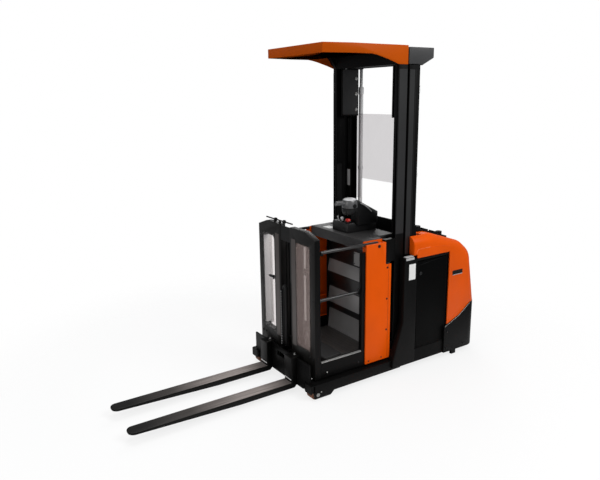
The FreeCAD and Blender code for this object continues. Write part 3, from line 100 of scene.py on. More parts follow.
# %% [markdown]
# The studio is a pale floor, a pale world and four large soft lamps. The world shows white to the
# camera and through clear sheets, through the Light Path node. It lights the truck and its glossy
# reflections at a lower level, so that the dark paint keeps its depth. Large lamps give long soft
# highlights on painted steel. The brightest one stands above the near side, so fronts are darker
# than sides.


# %% Light
def connect(tree, out_node, out_socket, in_node, in_socket):
    """Link two sockets of a node tree by name or number."""
    tree.links.new(out_node.outputs[out_socket], in_node.inputs[in_socket])


def add_node(tree, kind, values=None, feeds=None):
    """Add a shader node, set the sockets given by value and wire those fed by another node."""
    made = tree.nodes.new("ShaderNode" + kind)
    for socket, value in (values or {}).items():
        made.inputs[socket].default_value = value
    for socket, (source, output) in (feeds or {}).items():
        connect(tree, source, output, made, socket)
    return made


def add_lamp(name, place, target, size, watts, tint=(1, 1, 1)):
    """A square area lamp that faces a point."""
    data = bpy.data.lights.new(name, "AREA")
    data.size = size
    data.energy = watts
    data.color = tint
    lamp = bpy.data.objects.new(name, data)
    lamp.location = place
    lamp.rotation_mode = "QUATERNION"
    lamp.rotation_quaternion = (Vector(target) - Vector(place)).to_track_quat("-Z", "Y")
    bpy.context.scene.collection.objects.link(lamp)
    return lamp


WORLD_LEVEL = 0.3
COOL_WHITE = (0.95, 0.97, 1, 1)
world = bpy.data.worlds.new("studio")
bpy.context.scene.world = world
world.use_nodes = True
sky = world.node_tree
sky.nodes.clear()
path = add_node(sky, "LightPath")
seen = add_node(sky, "Math", feeds={0: (path, "Is Camera Ray"), 1: (path, "Is Transmission Ray")})
seen.operation = "MAXIMUM"
dim = add_node(sky, "Background", {"Color": COOL_WHITE, "Strength": WORLD_LEVEL})
bright = add_node(sky, "Background", {"Color": (1, 1, 1, 1)})
choose = add_node(sky, "MixShader", feeds={0: (seen, 0), 1: (dim, 0), 2: (bright, 0)})
add_node(sky, "OutputWorld", feeds={"Surface": (choose, 0)})

MIDDLE = (0.2, 0, 1.0)
add_lamp("key_lamp", (1.6, -4.2, 4.6), MIDDLE, size=2.6, watts=190)
add_lamp("front_lamp", (-4.6, -0.6, 2.6), MIDDLE, size=2.4, watts=45, tint=(1, 0.97, 0.95))
add_lamp("top_lamp", (0.0, 0.6, 5.6), (0.1, 0, 0.6), size=3.4, watts=120)
add_lamp("back_lamp", (3.2, 3.4, 3.4), MIDDLE, size=2.4, watts=60)

# %% [markdown]
# The floor is one plane. In the camera's eyes most of its brightness is its own, so the truck's
# soft shadow stays but the floor reads as white paper. Towards its rim it turns clear, by its
# distance from the truck, and the white world takes over with no horizon line.

# %% The floor
FLOOR_HALF = 5
FLOOR_LEVEL = -0.001
FLOOR_GLOW = 0.8
FADE_FROM = 1.6
FADE_TO = 3.0
WHITE_PAINT = (0.9, 0.9, 0.9, 1)
floor_mesh = bpy.data.meshes.new("floor")
corners = [(x * FLOOR_HALF, y * FLOOR_HALF, 0) for x, y in ((-1, -1), (1, -1), (1, 1), (-1, 1))]
floor_mesh.from_pydata(corners, [], [(0, 1, 2, 3)])
floor = bpy.data.objects.new("floor", floor_mesh)
floor.location.z = FLOOR_LEVEL
bpy.context.scene.collection.objects.link(floor)
pale = bpy.data.materials.new("pale_floor")
pale.use_nodes = True
tree = pale.node_tree
tree.nodes.clear()
path = add_node(tree, "LightPath")
share = add_node(tree, "Math", {1: FLOOR_GLOW}, {0: (path, "Is Camera Ray")})
share.operation = "MULTIPLY"
matt = add_node(tree, "BsdfDiffuse", {"Color": WHITE_PAINT})
glow = add_node(tree, "Emission")
lit = add_node(tree, "MixShader", feeds={0: (share, 0), 1: (matt, 0), 2: (glow, 0)})
place = add_node(tree, "TexCoord")
reach = add_node(tree, "VectorMath", feeds={0: (place, "Object")})
reach.operation = "LENGTH"
fade = add_node(tree, "MapRange", {"From Min": FADE_FROM, "From Max": FADE_TO},
                {"Value": (reach, "Value")})
fade.interpolation_type = "SMOOTHSTEP"
nothing = add_node(tree, "BsdfTransparent")
rim = add_node(tree, "MixShader", feeds={0: (fade, "Result"), 1: (lit, 0), 2: (nothing, 0)})
add_node(tree, "OutputMaterial", feeds={"Surface": (rim, 0)})
floor_mesh.materials.append(pale)
print("floor", 2 * FLOOR_HALF, "m square")

# %% [markdown]
# Every painted or moulded surface here shares one recipe. A large noise shifts the base colour a
# little, as real paint varies with dust and handling. A finer noise varies the roughness, which is
# what makes a reflection look like a surface and not like plastic wrap. A fine bump gives orange
# peel to paint or grain to plastic. Numbers that are the same all over sit on the shader itself.


# %% One recipe for a finish
PATCH_FROM, PATCH_TO = 0.32, 0.68
COAT_ROUGHNESS = 0.12
ROUGH_SPREAD = 0.08
RELIEF_DEPTH = 0.0006


def make_finish(name, colour, rough, vary=0.2, grain=500, bump=0.02, metal=0, coat=0, cloud=4,
                specular=0.5):
    """A material whose colour, roughness and relief come from noise at two scales."""
    finish = bpy.data.materials.new(name)
    finish.use_nodes = True
    tree = finish.node_tree
    shader = tree.nodes["Principled BSDF"]
    for socket, value in (("Metallic", metal), ("Coat Weight", coat),
                          ("Coat Roughness", COAT_ROUGHNESS), ("Specular IOR Level", specular)):
        shader.inputs[socket].default_value = value
    place = add_node(tree, "TexCoord")
    clouds = add_node(tree, "TexNoise", {"Scale": cloud, "Detail": 5},
                      {"Vector": (place, "Object")})
    tints = add_node(tree, "ValToRGB", feeds={"Fac": (clouds, "Fac")})
    for end, spot, share in zip(tints.color_ramp.elements, (PATCH_FROM, PATCH_TO),
                                (1 - vary, 1 + vary)):
        end.position = spot
        end.color = (*[min(1, value * share) for value in colour], 1)
    connect(tree, tints, "Color", shader, "Base Color")
    fine = add_node(tree, "TexNoise", {"Scale": grain, "Detail": 2}, {"Vector": (place, "Object")})
    spread = add_node(tree, "MapRange", {"To Min": max(0.02, rough - ROUGH_SPREAD),
                                         "To Max": min(1, rough + ROUGH_SPREAD)},
                      {"Value": (clouds, "Fac")})
    connect(tree, spread, "Result", shader, "Roughness")
    relief = add_node(tree, "Bump", {"Strength": bump * 10, "Distance": RELIEF_DEPTH},
                      {"Height": (fine, "Fac")})
    connect(tree, relief, "Normal", shader, "Normal")
    return finish


orange_paint = make_finish("orange_paint", (0.77, 0.092, 0.001), 0.4, vary=0.05, grain=260,
                           bump=0.012, specular=0.09)
black_paint = make_finish("black_paint", (0.0034, 0.0033, 0.0033), 0.44, grain=320, specular=0.09)
frame_paint = make_finish("frame_paint", (0.0095, 0.0088, 0.0082), 0.46, vary=0.14, grain=320,
                          specular=0.2)
mast_steel = make_finish("mast_steel", (0.0028, 0.0028, 0.0028), 0.38, vary=0.25, grain=400,
                         bump=0.015, specular=0.09)
hatch_paint = make_finish("hatch_paint", (0.0014, 0.0014, 0.0014), 0.5, grain=320, specular=0.04)
bumper_plastic = make_finish("bumper_plastic", (0.0032, 0.0031, 0.0031), 0.55, vary=0.15,
                             grain=700, bump=0.05, specular=0.12)
head_plastic = make_finish("head_plastic", (0.038, 0.038, 0.039), 0.5, vary=0.12, grain=600,
                           bump=0.04)
console_plastic = make_finish("console_plastic", (0.032, 0.031, 0.031), 0.55, vary=0.15, grain=650,
                              bump=0.06)
knee_plate = make_finish("knee_plate", (0.085, 0.084, 0.084), 0.42, vary=0.15, grain=300)
mat_rubber = make_finish("mat_rubber", (0.06, 0.055, 0.052), 0.5, vary=0.15, grain=180, bump=0.12)
zinc = make_finish("zinc", (0.62, 0.62, 0.6), 0.3, vary=0.1, metal=1)
wheel_tread = make_finish("wheel_tread", (0.17, 0.06, 0.025), 0.55, vary=0.15, grain=200,
                          bump=0.05)
grey_rubber = make_finish("grey_rubber", (0.02, 0.02, 0.02), 0.75, vary=0.15, grain=400, bump=0.08)
rail_steel = make_finish("rail_steel", (0.012, 0.0115, 0.011), 0.4, specular=0.2)
fork_steel = make_finish("fork_steel", (0.0036, 0.0034, 0.0033), 0.4, vary=0.25, grain=260,
                         bump=0.03, specular=0.1)
# The overhead guard wears a darker copy of the orange paint. This is painted shade, because the
# guard lies more in shade than the hood.
guard_orange_shaded = make_finish("guard_orange_shaded", (0.45, 0.07, 0.0012), 0.42, vary=0.05, grain=260,
                          bump=0.012, specular=0.05)
print("finishes", len(bpy.data.materials) - 1)

# %% [markdown]
# The screen at the operator's back and the panes of the front frames are clear plastic. A thin
# clear sheet bends light so little that a see-through shader with a share of gloss on top looks
# right and renders without noise. Real refraction in a sheet this thin would only cost time.


# %% Clear sheets
SMEAR = 0.03


def make_clear(name, tint, through, rough, film=None):
    """A thin clear sheet: light passes straight through, tinted, under a share of gloss or haze."""
    clear = bpy.data.materials.new(name)
    clear.use_nodes = True
    tree = clear.node_tree
    tree.nodes.clear()
    passing = add_node(tree, "BsdfTransparent", {"Color": (*tint, 1)})
    surface = add_node(tree, "BsdfPrincipled",
                       {"Base Color": (*(film or tint), 1), "Roughness": rough})
    smear = add_node(tree, "TexNoise", {"Scale": 3})
    amount = add_node(tree, "MapRange",
                      {"To Min": 1 - through - SMEAR, "To Max": 1 - through + SMEAR},
                      {"Value": (smear, "Fac")})
    mix = add_node(tree, "MixShader",
                   feeds={0: (amount, "Result"), 1: (passing, 0), 2: (surface, 0)})
    add_node(tree, "OutputMaterial", feeds={"Surface": (mix, 0)})
    return clear


clear_screen = make_clear("clear_screen", (0.84, 0.83, 0.835), through=0.94, rough=0.2)
clear_pane = make_clear("clear_pane", (0.93, 0.915, 0.91), through=0.93, rough=0.12)
print("clear sheets", clear_screen.name, clear_pane.name)

# %% [markdown]
# A pressed or welded part never has a knife edge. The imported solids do, so each one gets a
# softened twin: its mesh is copied, its flat triangles are merged, and a Bevel modifier rounds
# what is sharper than 35 degrees. The twin stands for the solid in every view, and the solid
# stays behind it for the physics.


# %% Softened twins of the solids
SHARP_FROM = math.radians(35)
FLAT_WITHIN = math.radians(0.6)
WELD_WITHIN = 0.00002


def soften(node, finish, width):
    """Give a CAD node a twin with rounded edges and a finish."""
    source = frame["nodes"][node]
    body = source["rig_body"]
    mesh = source.data.copy()
    mesh.materials.clear()
    mesh.materials.append(finish)
    work = bmesh.new()
    work.from_mesh(mesh)
    bmesh.ops.remove_doubles(work, verts=work.verts, dist=WELD_WITHIN)
    bmesh.ops.dissolve_limit(work, angle_limit=FLAT_WITHIN, verts=work.verts, edges=work.edges)
    for face in work.faces:
        face.smooth = True
        face.material_index = 0
    work.to_mesh(mesh)
    work.free()
    twin = bpy.data.objects.new(node + "_skin", mesh)
    bpy.context.scene.collection.objects.link(twin)
    rounding = twin.modifiers.new("edges", "BEVEL")
    rounding.width = width
    rounding.segments = 2
    rounding.limit_method = "ANGLE"
    rounding.angle_limit = SHARP_FROM
    rounding.harden_normals = True
    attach(twin, body)
    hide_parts(node)
    return twin


# A star in a name stands for both sides, near and far.
SKINS = (
    (guard_orange_shaded, 0.003, "overhead_guard"),
    (orange_paint, 0.003, "side_panel_* hood"),
    (hatch_paint, 0.003, "battery_hatch_*"),
    (black_paint, 0.003, "support_legs mast_shrouds fork_carriage cab_floor chassis_frame"),
    (black_paint, 0.003, "side_pillars guard_struts battery"),
    (fork_steel, 0.006, "fork_*"),
    (mast_steel, 0.003, "mast_outer mast_inner cab_posts"),
    (frame_paint, 0.004, "front_frame_*"),
    (mast_steel, 0.002, "roller_brackets"),
    (rail_steel, 0.001, "fork_mast"),
    (bumper_plastic, 0.004, "rear_bumper hood_tray"),
    (head_plastic, 0.004, "mast_head"),
    (console_plastic, 0.006, "desk control_box steering_unit"),
    (knee_plate, 0.004, "knee_panel"),
    (mat_rubber, 0.002, "floor_mat"),
    (grey_rubber, 0.001, "battery_rests"),
    (zinc, 0.001, "lift_rods guard_lamp"),
    (black_paint, 0.002, "lift_cylinders drive_unit castor_fork_*"),
    (black_paint, 0.002, "gate_bar_upper_* gate_bar_lower_*"),
    (wheel_tread, 0.004, "load_wheel_* drive_wheel"),
    (grey_rubber, 0.004, "castor_wheel_*"),
    (grey_rubber, 0.001, "hose_loop"),
    (clear_pane, 0.001, "windows"),
    (clear_screen, 0.001, "back_screen"),
)
skins = {}
for finish, width, words in SKINS:
    for word in words.split():
        for hand in ("near", "far") if "*" in word else ("",):
            node = word.replace("*", hand)
            skins[node] = soften(node, finish, width)
print("softened", len(skins), "of", len(frame["nodes"]))

# %% [markdown]
# Small hardware is built from two shapes. A turned shape is a profile of radius and height points
# swept round an axis, as a lathe would cut it. With six steps it is a hexagon head. A slab is a
# plate with rounded corners and a bevelled rim. Each is a stack of rings of points, and a piece
# joins the rings of one or more shapes, so that it can hold a whole row of bolts. Angles over 30
# degrees stay sharp, the rest is shaded smooth.

# %% Helpers for small hardware
NEAR, FAR = -1, 1
SIDES = (("near", NEAR), ("far", FAR))
FRONT = Vector((-1, 0, 0))
ALONG = -FRONT
ACROSS = Vector((0, 1, 0))
UP = Vector((0, 0, 1))
DOWN = -UP


def facing(place, out):
    """A matrix that stands at a place with its Z axis along a direction."""
    return Matrix.Translation(place) @ Vector(out).to_track_quat("Z", "Y").to_matrix().to_4x4()


def turned(profile, place, out, steps=24):
    """The rings of a profile of (radius, height) points turned round an axis."""
    spot = facing(place, out)
    turns = [math.tau * step / steps for step in range(steps)]
    return [[spot @ Vector((radius * math.cos(turn), radius * math.sin(turn), height))
             for turn in turns] for radius, height in profile]


def slab(wide, high, thick, place, out, up=UP, corner=0.004, edge=0.001):
    """The rings of a plate with rounded corners and a bevelled rim that lies on a surface."""
    normal = Vector(out).normalized()
    upward = (Vector(up) - Vector(up).dot(normal) * normal).normalized()
    across = upward.cross(normal)
    rings = []
    for level, inset in ((0, 0), (thick - edge, 0), (thick, edge)):
        ring = []
        for quarter, (right, top) in enumerate(((1, 1), (-1, 1), (-1, -1), (1, -1))):
            for step in range(5):
                angle = math.radians(90 * quarter + 22.5 * step)
                x = right * (wide / 2 - corner) + (corner - inset) * math.cos(angle)
                y = top * (high / 2 - corner) + (corner - inset) * math.sin(angle)
                ring.append(Vector(place) + x * across + y * upward + level * normal)
        rings.append(ring)
    return rings


def put_on(name, shape, finish, body):
    """Make a piece of a mesh or a curve, with a finish, that rides on a body."""
    shape.materials.append(finish)
    made = bpy.data.objects.new(name, shape)
    bpy.context.scene.collection.objects.link(made)
    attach(made, body)


def add_piece(name, finish, body, *shapes):
    """Join the rings of every shape, cap their ends and close them all into one piece."""
    work = bmesh.new()
    for rings in shapes:
        loops = [[work.verts.new(point) for point in ring] for ring in rings]
        for low, high in zip(loops, loops[1:]):
            for step in range(len(low)):
                after = (step + 1) % len(low)
                work.faces.new((low[step], low[after], high[after], high[step]))
        work.faces.new(list(reversed(loops[0])))
        work.faces.new(loops[-1])
    bmesh.ops.recalc_face_normals(work, faces=work.faces)
    for face in work.faces:
        face.smooth = True
    mesh = bpy.data.meshes.new(name)
    work.to_mesh(mesh)
    work.free()
    mesh.set_sharp_from_angle(angle=math.radians(30))
    put_on(name, mesh, finish, body)


def add_hub(name, finish, body, wheel, profile, steps, faces):
    """A turned hub let into one face of a wheel or into both."""
    low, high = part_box(wheel)
    centre = (low + high) / 2
    edges = {NEAR: low.y, FAR: high.y}
    add_piece(name, finish, body,
              *[turned(profile, (centre.x, edges[face], centre.z), (0, face, 0), steps)
                for face in faces])


def add_bolts(name, finish, body, places, out, radius=0.006):
    """A row of hexagon bolt heads on washers."""
    washer = [(radius * 1.35, -0.001), (radius * 1.35, radius * 0.18),
              (radius * 1.25, radius * 0.28)]
    head = [(radius, 0), (radius, radius * 0.75), (radius * 0.8, radius * 0.95)]
    add_piece(name, finish, body, *[turned(profile, place, out, steps) for place in places
                                    for profile, steps in ((washer, 20), (head, 6))])


def add_tube(name, finish, body, points, radius, closed=False, smooth=True):
    """A round bar, bead or hose along a line of points."""
    line = bpy.data.curves.new(name, "CURVE")
    line.dimensions = "3D"
    line.bevel_depth = radius
    line.bevel_resolution = 3
    line.use_fill_caps = True
    run = line.splines.new("NURBS" if smooth else "POLY")
    run.points.add(len(points) - 1)
    if smooth:
        run.order_u = 3
        run.use_endpoint_u = not closed
    run.use_cyclic_u = closed
    for spot, point in zip(run.points, points):
        spot.co = (*point, 1)
    put_on(name, line, finish, body)


def repaint(node, finish, wanted):
    """Give another finish to the faces of a skin whose middle passes a test."""
    mesh = skins[node].data
    mesh.materials.append(finish)
    chosen = [face for face in mesh.polygons if wanted(face.center, face.normal)]
    for face in chosen:
        face.material_index = len(mesh.materials) - 1
    return len(chosen)


def refinish(node, finish):
    """Give a whole skin another finish."""
    skins[node].data.materials[0] = finish


def skin_tree(node):
    """A search tree over the faces of a CAD node."""
    mesh = frame["nodes"][node].data
    return BVHTree.FromPolygons([corner.co for corner in mesh.vertices],
                                [face.vertices for face in mesh.polygons])


def cast(search, start, way, sink=0.0):
    """Where a ray meets a skin, sunk a little along the ray."""
    hit = search.ray_cast(Vector(start), Vector(way))[0]
    return hit + Vector(way) * sink


print("hardware helpers ready")

# %% [markdown]
# Finishes for the small things. Zinc plated screws are duller than chrome, so they get their own
# grey. Blank labels are a white film with a little dirt in it. The silver of the steering cap is a
# painted plastic, not metal, and black slots shine a little less than black paint.

# %% Finishes for the hardware
dark_bolt = make_finish("dark_bolt", (0.012, 0.012, 0.013), 0.35, grain=600, metal=0.4)
bright_bolt = make_finish("bright_bolt", (0.55, 0.55, 0.53), 0.35, vary=0.15, grain=700, bump=0.03,
                          metal=0.9)
silver_plastic = make_finish("silver_plastic", (0.74, 0.74, 0.75), 0.26, vary=0.04, bump=0.01,
                             coat=0.5)
grey_plastic = make_finish("grey_plastic", (0.16, 0.16, 0.165), 0.42, vary=0.08, grain=600,
                           bump=0.04)
blank_label = make_finish("blank_label", (0.82, 0.82, 0.8), 0.45, vary=0.03, bump=0.01)
cap_grey = make_finish("cap_grey", (0.42, 0.42, 0.42), 0.5, vary=0.08, bump=0.03)
red_button = make_finish("red_button", (0.6, 0.02, 0.012), 0.35, vary=0.05, bump=0.01)
brushed_edge = make_finish("brushed_edge", (0.33, 0.33, 0.32), 0.4, grain=900, bump=0.03,
                           metal=0.6)
slot_black = make_finish("slot_black", (0.004, 0.004, 0.004), 0.5, specular=0.25)
reveal_white = make_finish("reveal_white", (0.95, 0.94, 0.935), 0.6, vary=0.02, grain=400)
# A pale finish for the painted highlight across the fork heels.
pale_heel_highlight = make_finish("pale_heel_highlight", (0.8, 0.79, 0.78), 0.6, vary=0.03, grain=400)
lamp_white = make_finish("lamp_white", (0.8, 0.8, 0.78), 0.3, vary=0.03, grain=400, bump=0.01)
cast_grey = make_finish("cast_grey", (0.05, 0.05, 0.052), 0.6, grain=240, bump=0.1)
print("finishes", len(bpy.data.materials))

# %% [markdown]
# The side panels are folded sheet. A narrow strip along their back edge is bent inwards and holds
# three dark screws. On the real part this strip lies in shade and reads darker, and the fold itself
# shows as a fine dark line of shade. A thin black strip paints that shade along the fold, and the
# screws are turned shapes.

# %% Side panels
FOLD_BACK = 0.024
FOLD_SCREWS = (0.227, 0.464, 0.698)
FOLD_LENGTH, FOLD_MIDDLE = 0.86, 0.44
FOOT_SCREWS = (0.03, 0.15)
for side_name, side in SIDES:
    low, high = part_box(f"side_panel_{side_name}")
    face_y = low.y if side == NEAR else high.y
    fold_x = high.x - FOLD_BACK
    add_bolts(
        f"panel_screws_{side_name}", dark_bolt, "cab",
        [(fold_x - 0.012, face_y, low.z + rise) for rise in FOLD_SCREWS], (0, side, 0), 0.0055)
    # The thin black strip is painted shade along the fold.
    add_piece(
        f"panel_fold_shade_{side_name}", slot_black, "cab",
        slab(0.0016, FOLD_LENGTH, 0.0006, (fold_x, face_y - side * 0.0001, low.z + FOLD_MIDDLE),
             (0, side, 0), corner=0.0007, edge=0.0003))
    add_bolts(f"panel_foot_screws_{side_name}", dark_bolt, "cab",
              [(low.x + x, face_y, low.z + 0.02) for x in FOOT_SCREWS], (0, side, 0), 0.0045)
print("panel screws", 2 * len(FOLD_SCREWS))

# %% [markdown]
# The floor of the cab is a steel rim round a sunken pan. A bright sill strip, worn by boots, runs
# along the top of the rim on both sides. The mat has shallow ribs, so that a wet shoe holds. They
# are one mesh of low rounded bars, with the pad of the presence switch among them.

# %% The floor
floor_low, floor_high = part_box("cab_floor")
mat_low, mat_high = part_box("floor_mat")
pillar_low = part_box("side_pillars")[0]
sill_from = floor_low.x + 0.006
sill_to = pillar_low.x - 0.001
sill_x = (sill_from + sill_to) / 2
BRIGHT_SCREW = 0.053
DARK_SCREWS = (0.33, 0.62)
SCREW_RISE = 0.04
for side_name, side in SIDES:
    edge_y = side * floor_high.y
    add_piece(
        f"sill_strip_{side_name}", brushed_edge, "cab",
        slab(sill_to - sill_from, 0.012, 0.0015, (sill_x, edge_y - side * 0.0075, floor_high.z),
             UP, up=ACROSS, corner=0.002, edge=0.0006),
        slab(sill_to - sill_from, 0.006, 0.001, (sill_x, edge_y, floor_high.z - 0.004),
             (0, side, 0), corner=0.0015, edge=0.0005))
    add_bolts(
        f"floor_screws_{side_name}", bright_bolt, "cab",
        [(floor_low.x + BRIGHT_SCREW, edge_y, floor_low.z + SCREW_RISE)], (0, side, 0), 0.004)
    add_bolts(
        f"floor_dark_screws_{side_name}", dark_bolt, "cab",
        [(floor_low.x + x, edge_y, floor_low.z + SCREW_RISE) for x in DARK_SCREWS], (0, side, 0),
        0.0055)
RIB_PITCH = 0.024
MAT_RIM = 0.03
PAD_X, PAD_Y = 0.16, -0.07
ribs = int((mat_high.y - mat_low.y - MAT_RIM) / RIB_PITCH)
rib_from = mat_low.y + 0.02
add_piece(
    "mat_ribs", mat_rubber, "cab",
    *[slab(mat_high.x - mat_low.x - MAT_RIM, 0.01, 0.0022,
           ((mat_low.x + mat_high.x) / 2, rib_from + (rib + 0.5) * RIB_PITCH, mat_high.z - 0.0004),
           UP, up=ACROSS, corner=0.0045, edge=0.0012) for rib in range(ribs)])
add_piece(
    "presence_pad", grey_rubber, "cab",
    slab(0.16, 0.26, 0.012, (mat_low.x + PAD_X, PAD_Y, mat_high.z), UP, up=ACROSS, corner=0.02,
         edge=0.004))
print("mat ribs", ribs)

# %% [markdown]
# The forks are dark at the tips and lighter towards the heel. Part of this is real wear, rubbed
# bright where every pallet lands. Part is a painted sheen, the reflection of the pale backdrop on
# the top face. The top face gets its own finish: a ramp along the length of the fork, read from the
# object's own coordinates, mixes black paint into a light steel colour, and noise stretched along X
# draws the scratches.

# %% Fork tops: wear and painted sheen
BLADE_HEIGHT = 0.08
SHEEN_WEAR_FROM, SHEEN_WEAR_TO = 0.12, 0.1
SHEEN_WEAR_STEPS = ((0.3, 0.16), (0.62, 0.85), (0.8, 1.0))
WEAR_AND_SHEEN_STEEL = (0.56, 0.49, 0.46, 1)
fork_low, fork_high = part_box("fork_near")
fork_wear_sheen = make_finish("fork_wear_and_sheen", (0.009, 0.0085, 0.008), 0.42, vary=0.3, grain=260, bump=0.03,
                   specular=0.15)
tree = fork_wear_sheen.node_tree
shader = tree.nodes["Principled BSDF"]
plain_colour = shader.inputs["Base Color"].links[0].from_node
place = add_node(tree, "TexCoord")
split = add_node(tree, "SeparateXYZ", feeds={"Vector": (place, "Object")})
along = add_node(tree, "MapRange",
                 {"From Min": fork_low.x + SHEEN_WEAR_FROM, "From Max": fork_high.x - SHEEN_WEAR_TO},
                 {"Value": (split, "X")})
sheen_wear_curve = add_node(tree, "ValToRGB", feeds={"Fac": (along, "Result")})
sheen_wear_ramp = sheen_wear_curve.color_ramp.elements
sheen_wear_ramp[0].color = (0, 0, 0, 1)
sheen_wear_ramp[1].color = (0.42, 0.42, 0.42, 1)
for spot, level in SHEEN_WEAR_STEPS:
    sheen_wear_ramp.new(spot).color = (level, level, level, 1)
stretch = add_node(tree, "Mapping", {"Scale": (1.2, 60, 60)}, {"Vector": (place, "Object")})
scratch = add_node(tree, "TexNoise", {"Scale": 3, "Detail": 4}, {"Vector": (stretch, "Vector")})
sheen_and_wear = add_node(tree, "Math", feeds={0: (sheen_wear_curve, "Color"), 1: (scratch, "Fac")})
sheen_and_wear.operation = "MULTIPLY"
shade = tree.nodes.new("ShaderNodeMix")
shade.data_type = "RGBA"
shade.inputs["B"].default_value = WEAR_AND_SHEEN_STEEL
connect(tree, sheen_and_wear, 0, shade, "Factor")
connect(tree, plain_colour, "Color", shade, "A")
connect(tree, shade, "Result", shader, "Base Color")
# Only the blade's upward faces get the lighter ramp. It is partly wear and partly a painted sheen.
for fork in ("fork_near", "fork_far"):
    print(fork, "worn faces", repaint(fork, fork_wear_sheen, lambda middle, normal: normal.z > 0.7
                                      and middle.z < fork_low.z + BLADE_HEIGHT))

# %% [markdown]
# Each fork hooks over the carriage plate. A spring pin on top of the shank drops into a notch and
# stops the fork from sliding sideways. The plate has one light bolt and a row of dark ones. A pale
# line across the heel of each fork is a painted highlight, the light caught by the bend where blade
# meets shank.

# %% The fork carriage
plate_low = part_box("fork_carriage")[0]
bolt_x = plate_low.x + 0.012
PIN_INSET = 0.016
HEEL_RISE = 0.062
HEEL_INSET = 0.006
LIGHT_BOLT = (-0.038, 0.213)
DARK_BOLTS = (-0.28, -0.25, 0.25, 0.28)
DARK_BOLTS_Z = 0.095
for fork in ("fork_near", "fork_far"):
    low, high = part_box(fork)
    middle_y = (low.y + high.y) / 2
    pin_x = high.x - PIN_INSET
    add_piece(
        f"{fork}_pin", bright_bolt, "carriage",
        turned([(0.01, -0.002), (0.01, 0.003), (0.008, 0.005), (0.006, 0.005), (0.006, 0.01),
                (0.004, 0.012)], (pin_x, middle_y, high.z), UP, 20))
    add_piece(
        f"{fork}_pin_handle", dark_bolt, "carriage",
        turned([(0.003, -0.001), (0.003, 0.022)], (pin_x, middle_y - 0.011, high.z + 0.009),
               ACROSS, 12))
    search = skin_tree(fork)
    heel = [cast(search, (low.x, y, low.z + HEEL_RISE), (1, 0, 0))
            for y in (low.y + HEEL_INSET, middle_y, high.y - HEEL_INSET)]
    # The pale tube across the heel is a painted highlight on the bend of the fork.
    add_tube(f"{fork}_heel_highlight", pale_heel_highlight, "carriage", heel, 0.0035)
add_bolts("carriage_bolt", bright_bolt, "carriage", [(bolt_x, *LIGHT_BOLT)], FRONT, 0.006)
add_bolts(
    "carriage_dark_bolts", dark_bolt, "carriage",
    [(bolt_x, y, DARK_BOLTS_Z) for y in DARK_BOLTS], FRONT, 0.007)
print("fork pins and carriage bolts made")

# %% [markdown]
# A support leg ends in a load wheel on a fixed axle. From outside one sees the axle's end, held
# by a small locking plate with one screw. The wheel is a steel hub inside a cast polyurethane
# tyre. Hubs ride on the wheels' own bodies, so they turn with them. A black guard of four plates
# stays with the leg and wraps the front of the wheel.

# %% Load wheels
leg_low, leg_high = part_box("support_legs")
guard_x = leg_low.x - 0.012
GUARD_FRONT = 0.0275
CHEEKS = (0.3215, 0.402)
LOCK_RISE = 0.018
for side_name, side in SIDES:
    wheel = f"load_wheel_{side_name}"
    add_hub(f"load_hub_{side_name}", brushed_edge, f"load_roller_{side_name}", wheel,
            [(0.026, -0.002), (0.026, 0.0006), (0.024, 0.0012), (0.02, 0.0012), (0.018, 0.0004),
             (0.012, 0.0004)], 32, (NEAR, FAR))
    low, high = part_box(wheel)
    hub = (low + high) / 2
    face_y = side * leg_high.y
    add_piece(
        f"axle_end_{side_name}", brushed_edge, "chassis",
        turned([(0.014, -0.002), (0.014, 0.0016), (0.0125, 0.003)], (hub.x, face_y, hub.z),
               (0, side, 0), 24))
    add_piece(
        f"axle_lock_{side_name}", black_paint, "chassis",
        slab(0.034, 0.014, 0.003, (hub.x + 0.014, face_y, hub.z + LOCK_RISE), (0, side, 0),
             corner=0.003, edge=0.0008))
    add_bolts(f"axle_screw_{side_name}", bright_bolt, "chassis",
              [(hub.x + 0.024, face_y + side * 0.003, hub.z + LOCK_RISE)], (0, side, 0), 0.0035)
    add_piece(
        f"wheel_guard_{side_name}", black_paint, "chassis",
        slab(0.08, 0.062, 0.004, (leg_low.x - GUARD_FRONT, side * 0.371, 0.083), FRONT,
             corner=0.006),
        *[slab(0.034, 0.05, 0.004, (guard_x, side * y - 0.002, 0.085), ACROSS) for y in CHEEKS],
        slab(0.098, 0.034, 0.003, (guard_x, side * 0.362, 0.111), UP, up=ALONG))
print("load wheels dressed")

# %% [markdown]
# The two front frames are deep pressed posts with a clear pane. A black rubber gasket closes each
# window at its sides, and a thin cover lies on each pane, hazy on the near side and bright on the
# far one. The far window shows a pale strip of its own depth, and two pale seals run up the pillar
# behind it. A small catch sits on the inner edge of that window, two black clamps hold a thin rod,
# and a cover plate closes the gap between the frames above the fork mast.

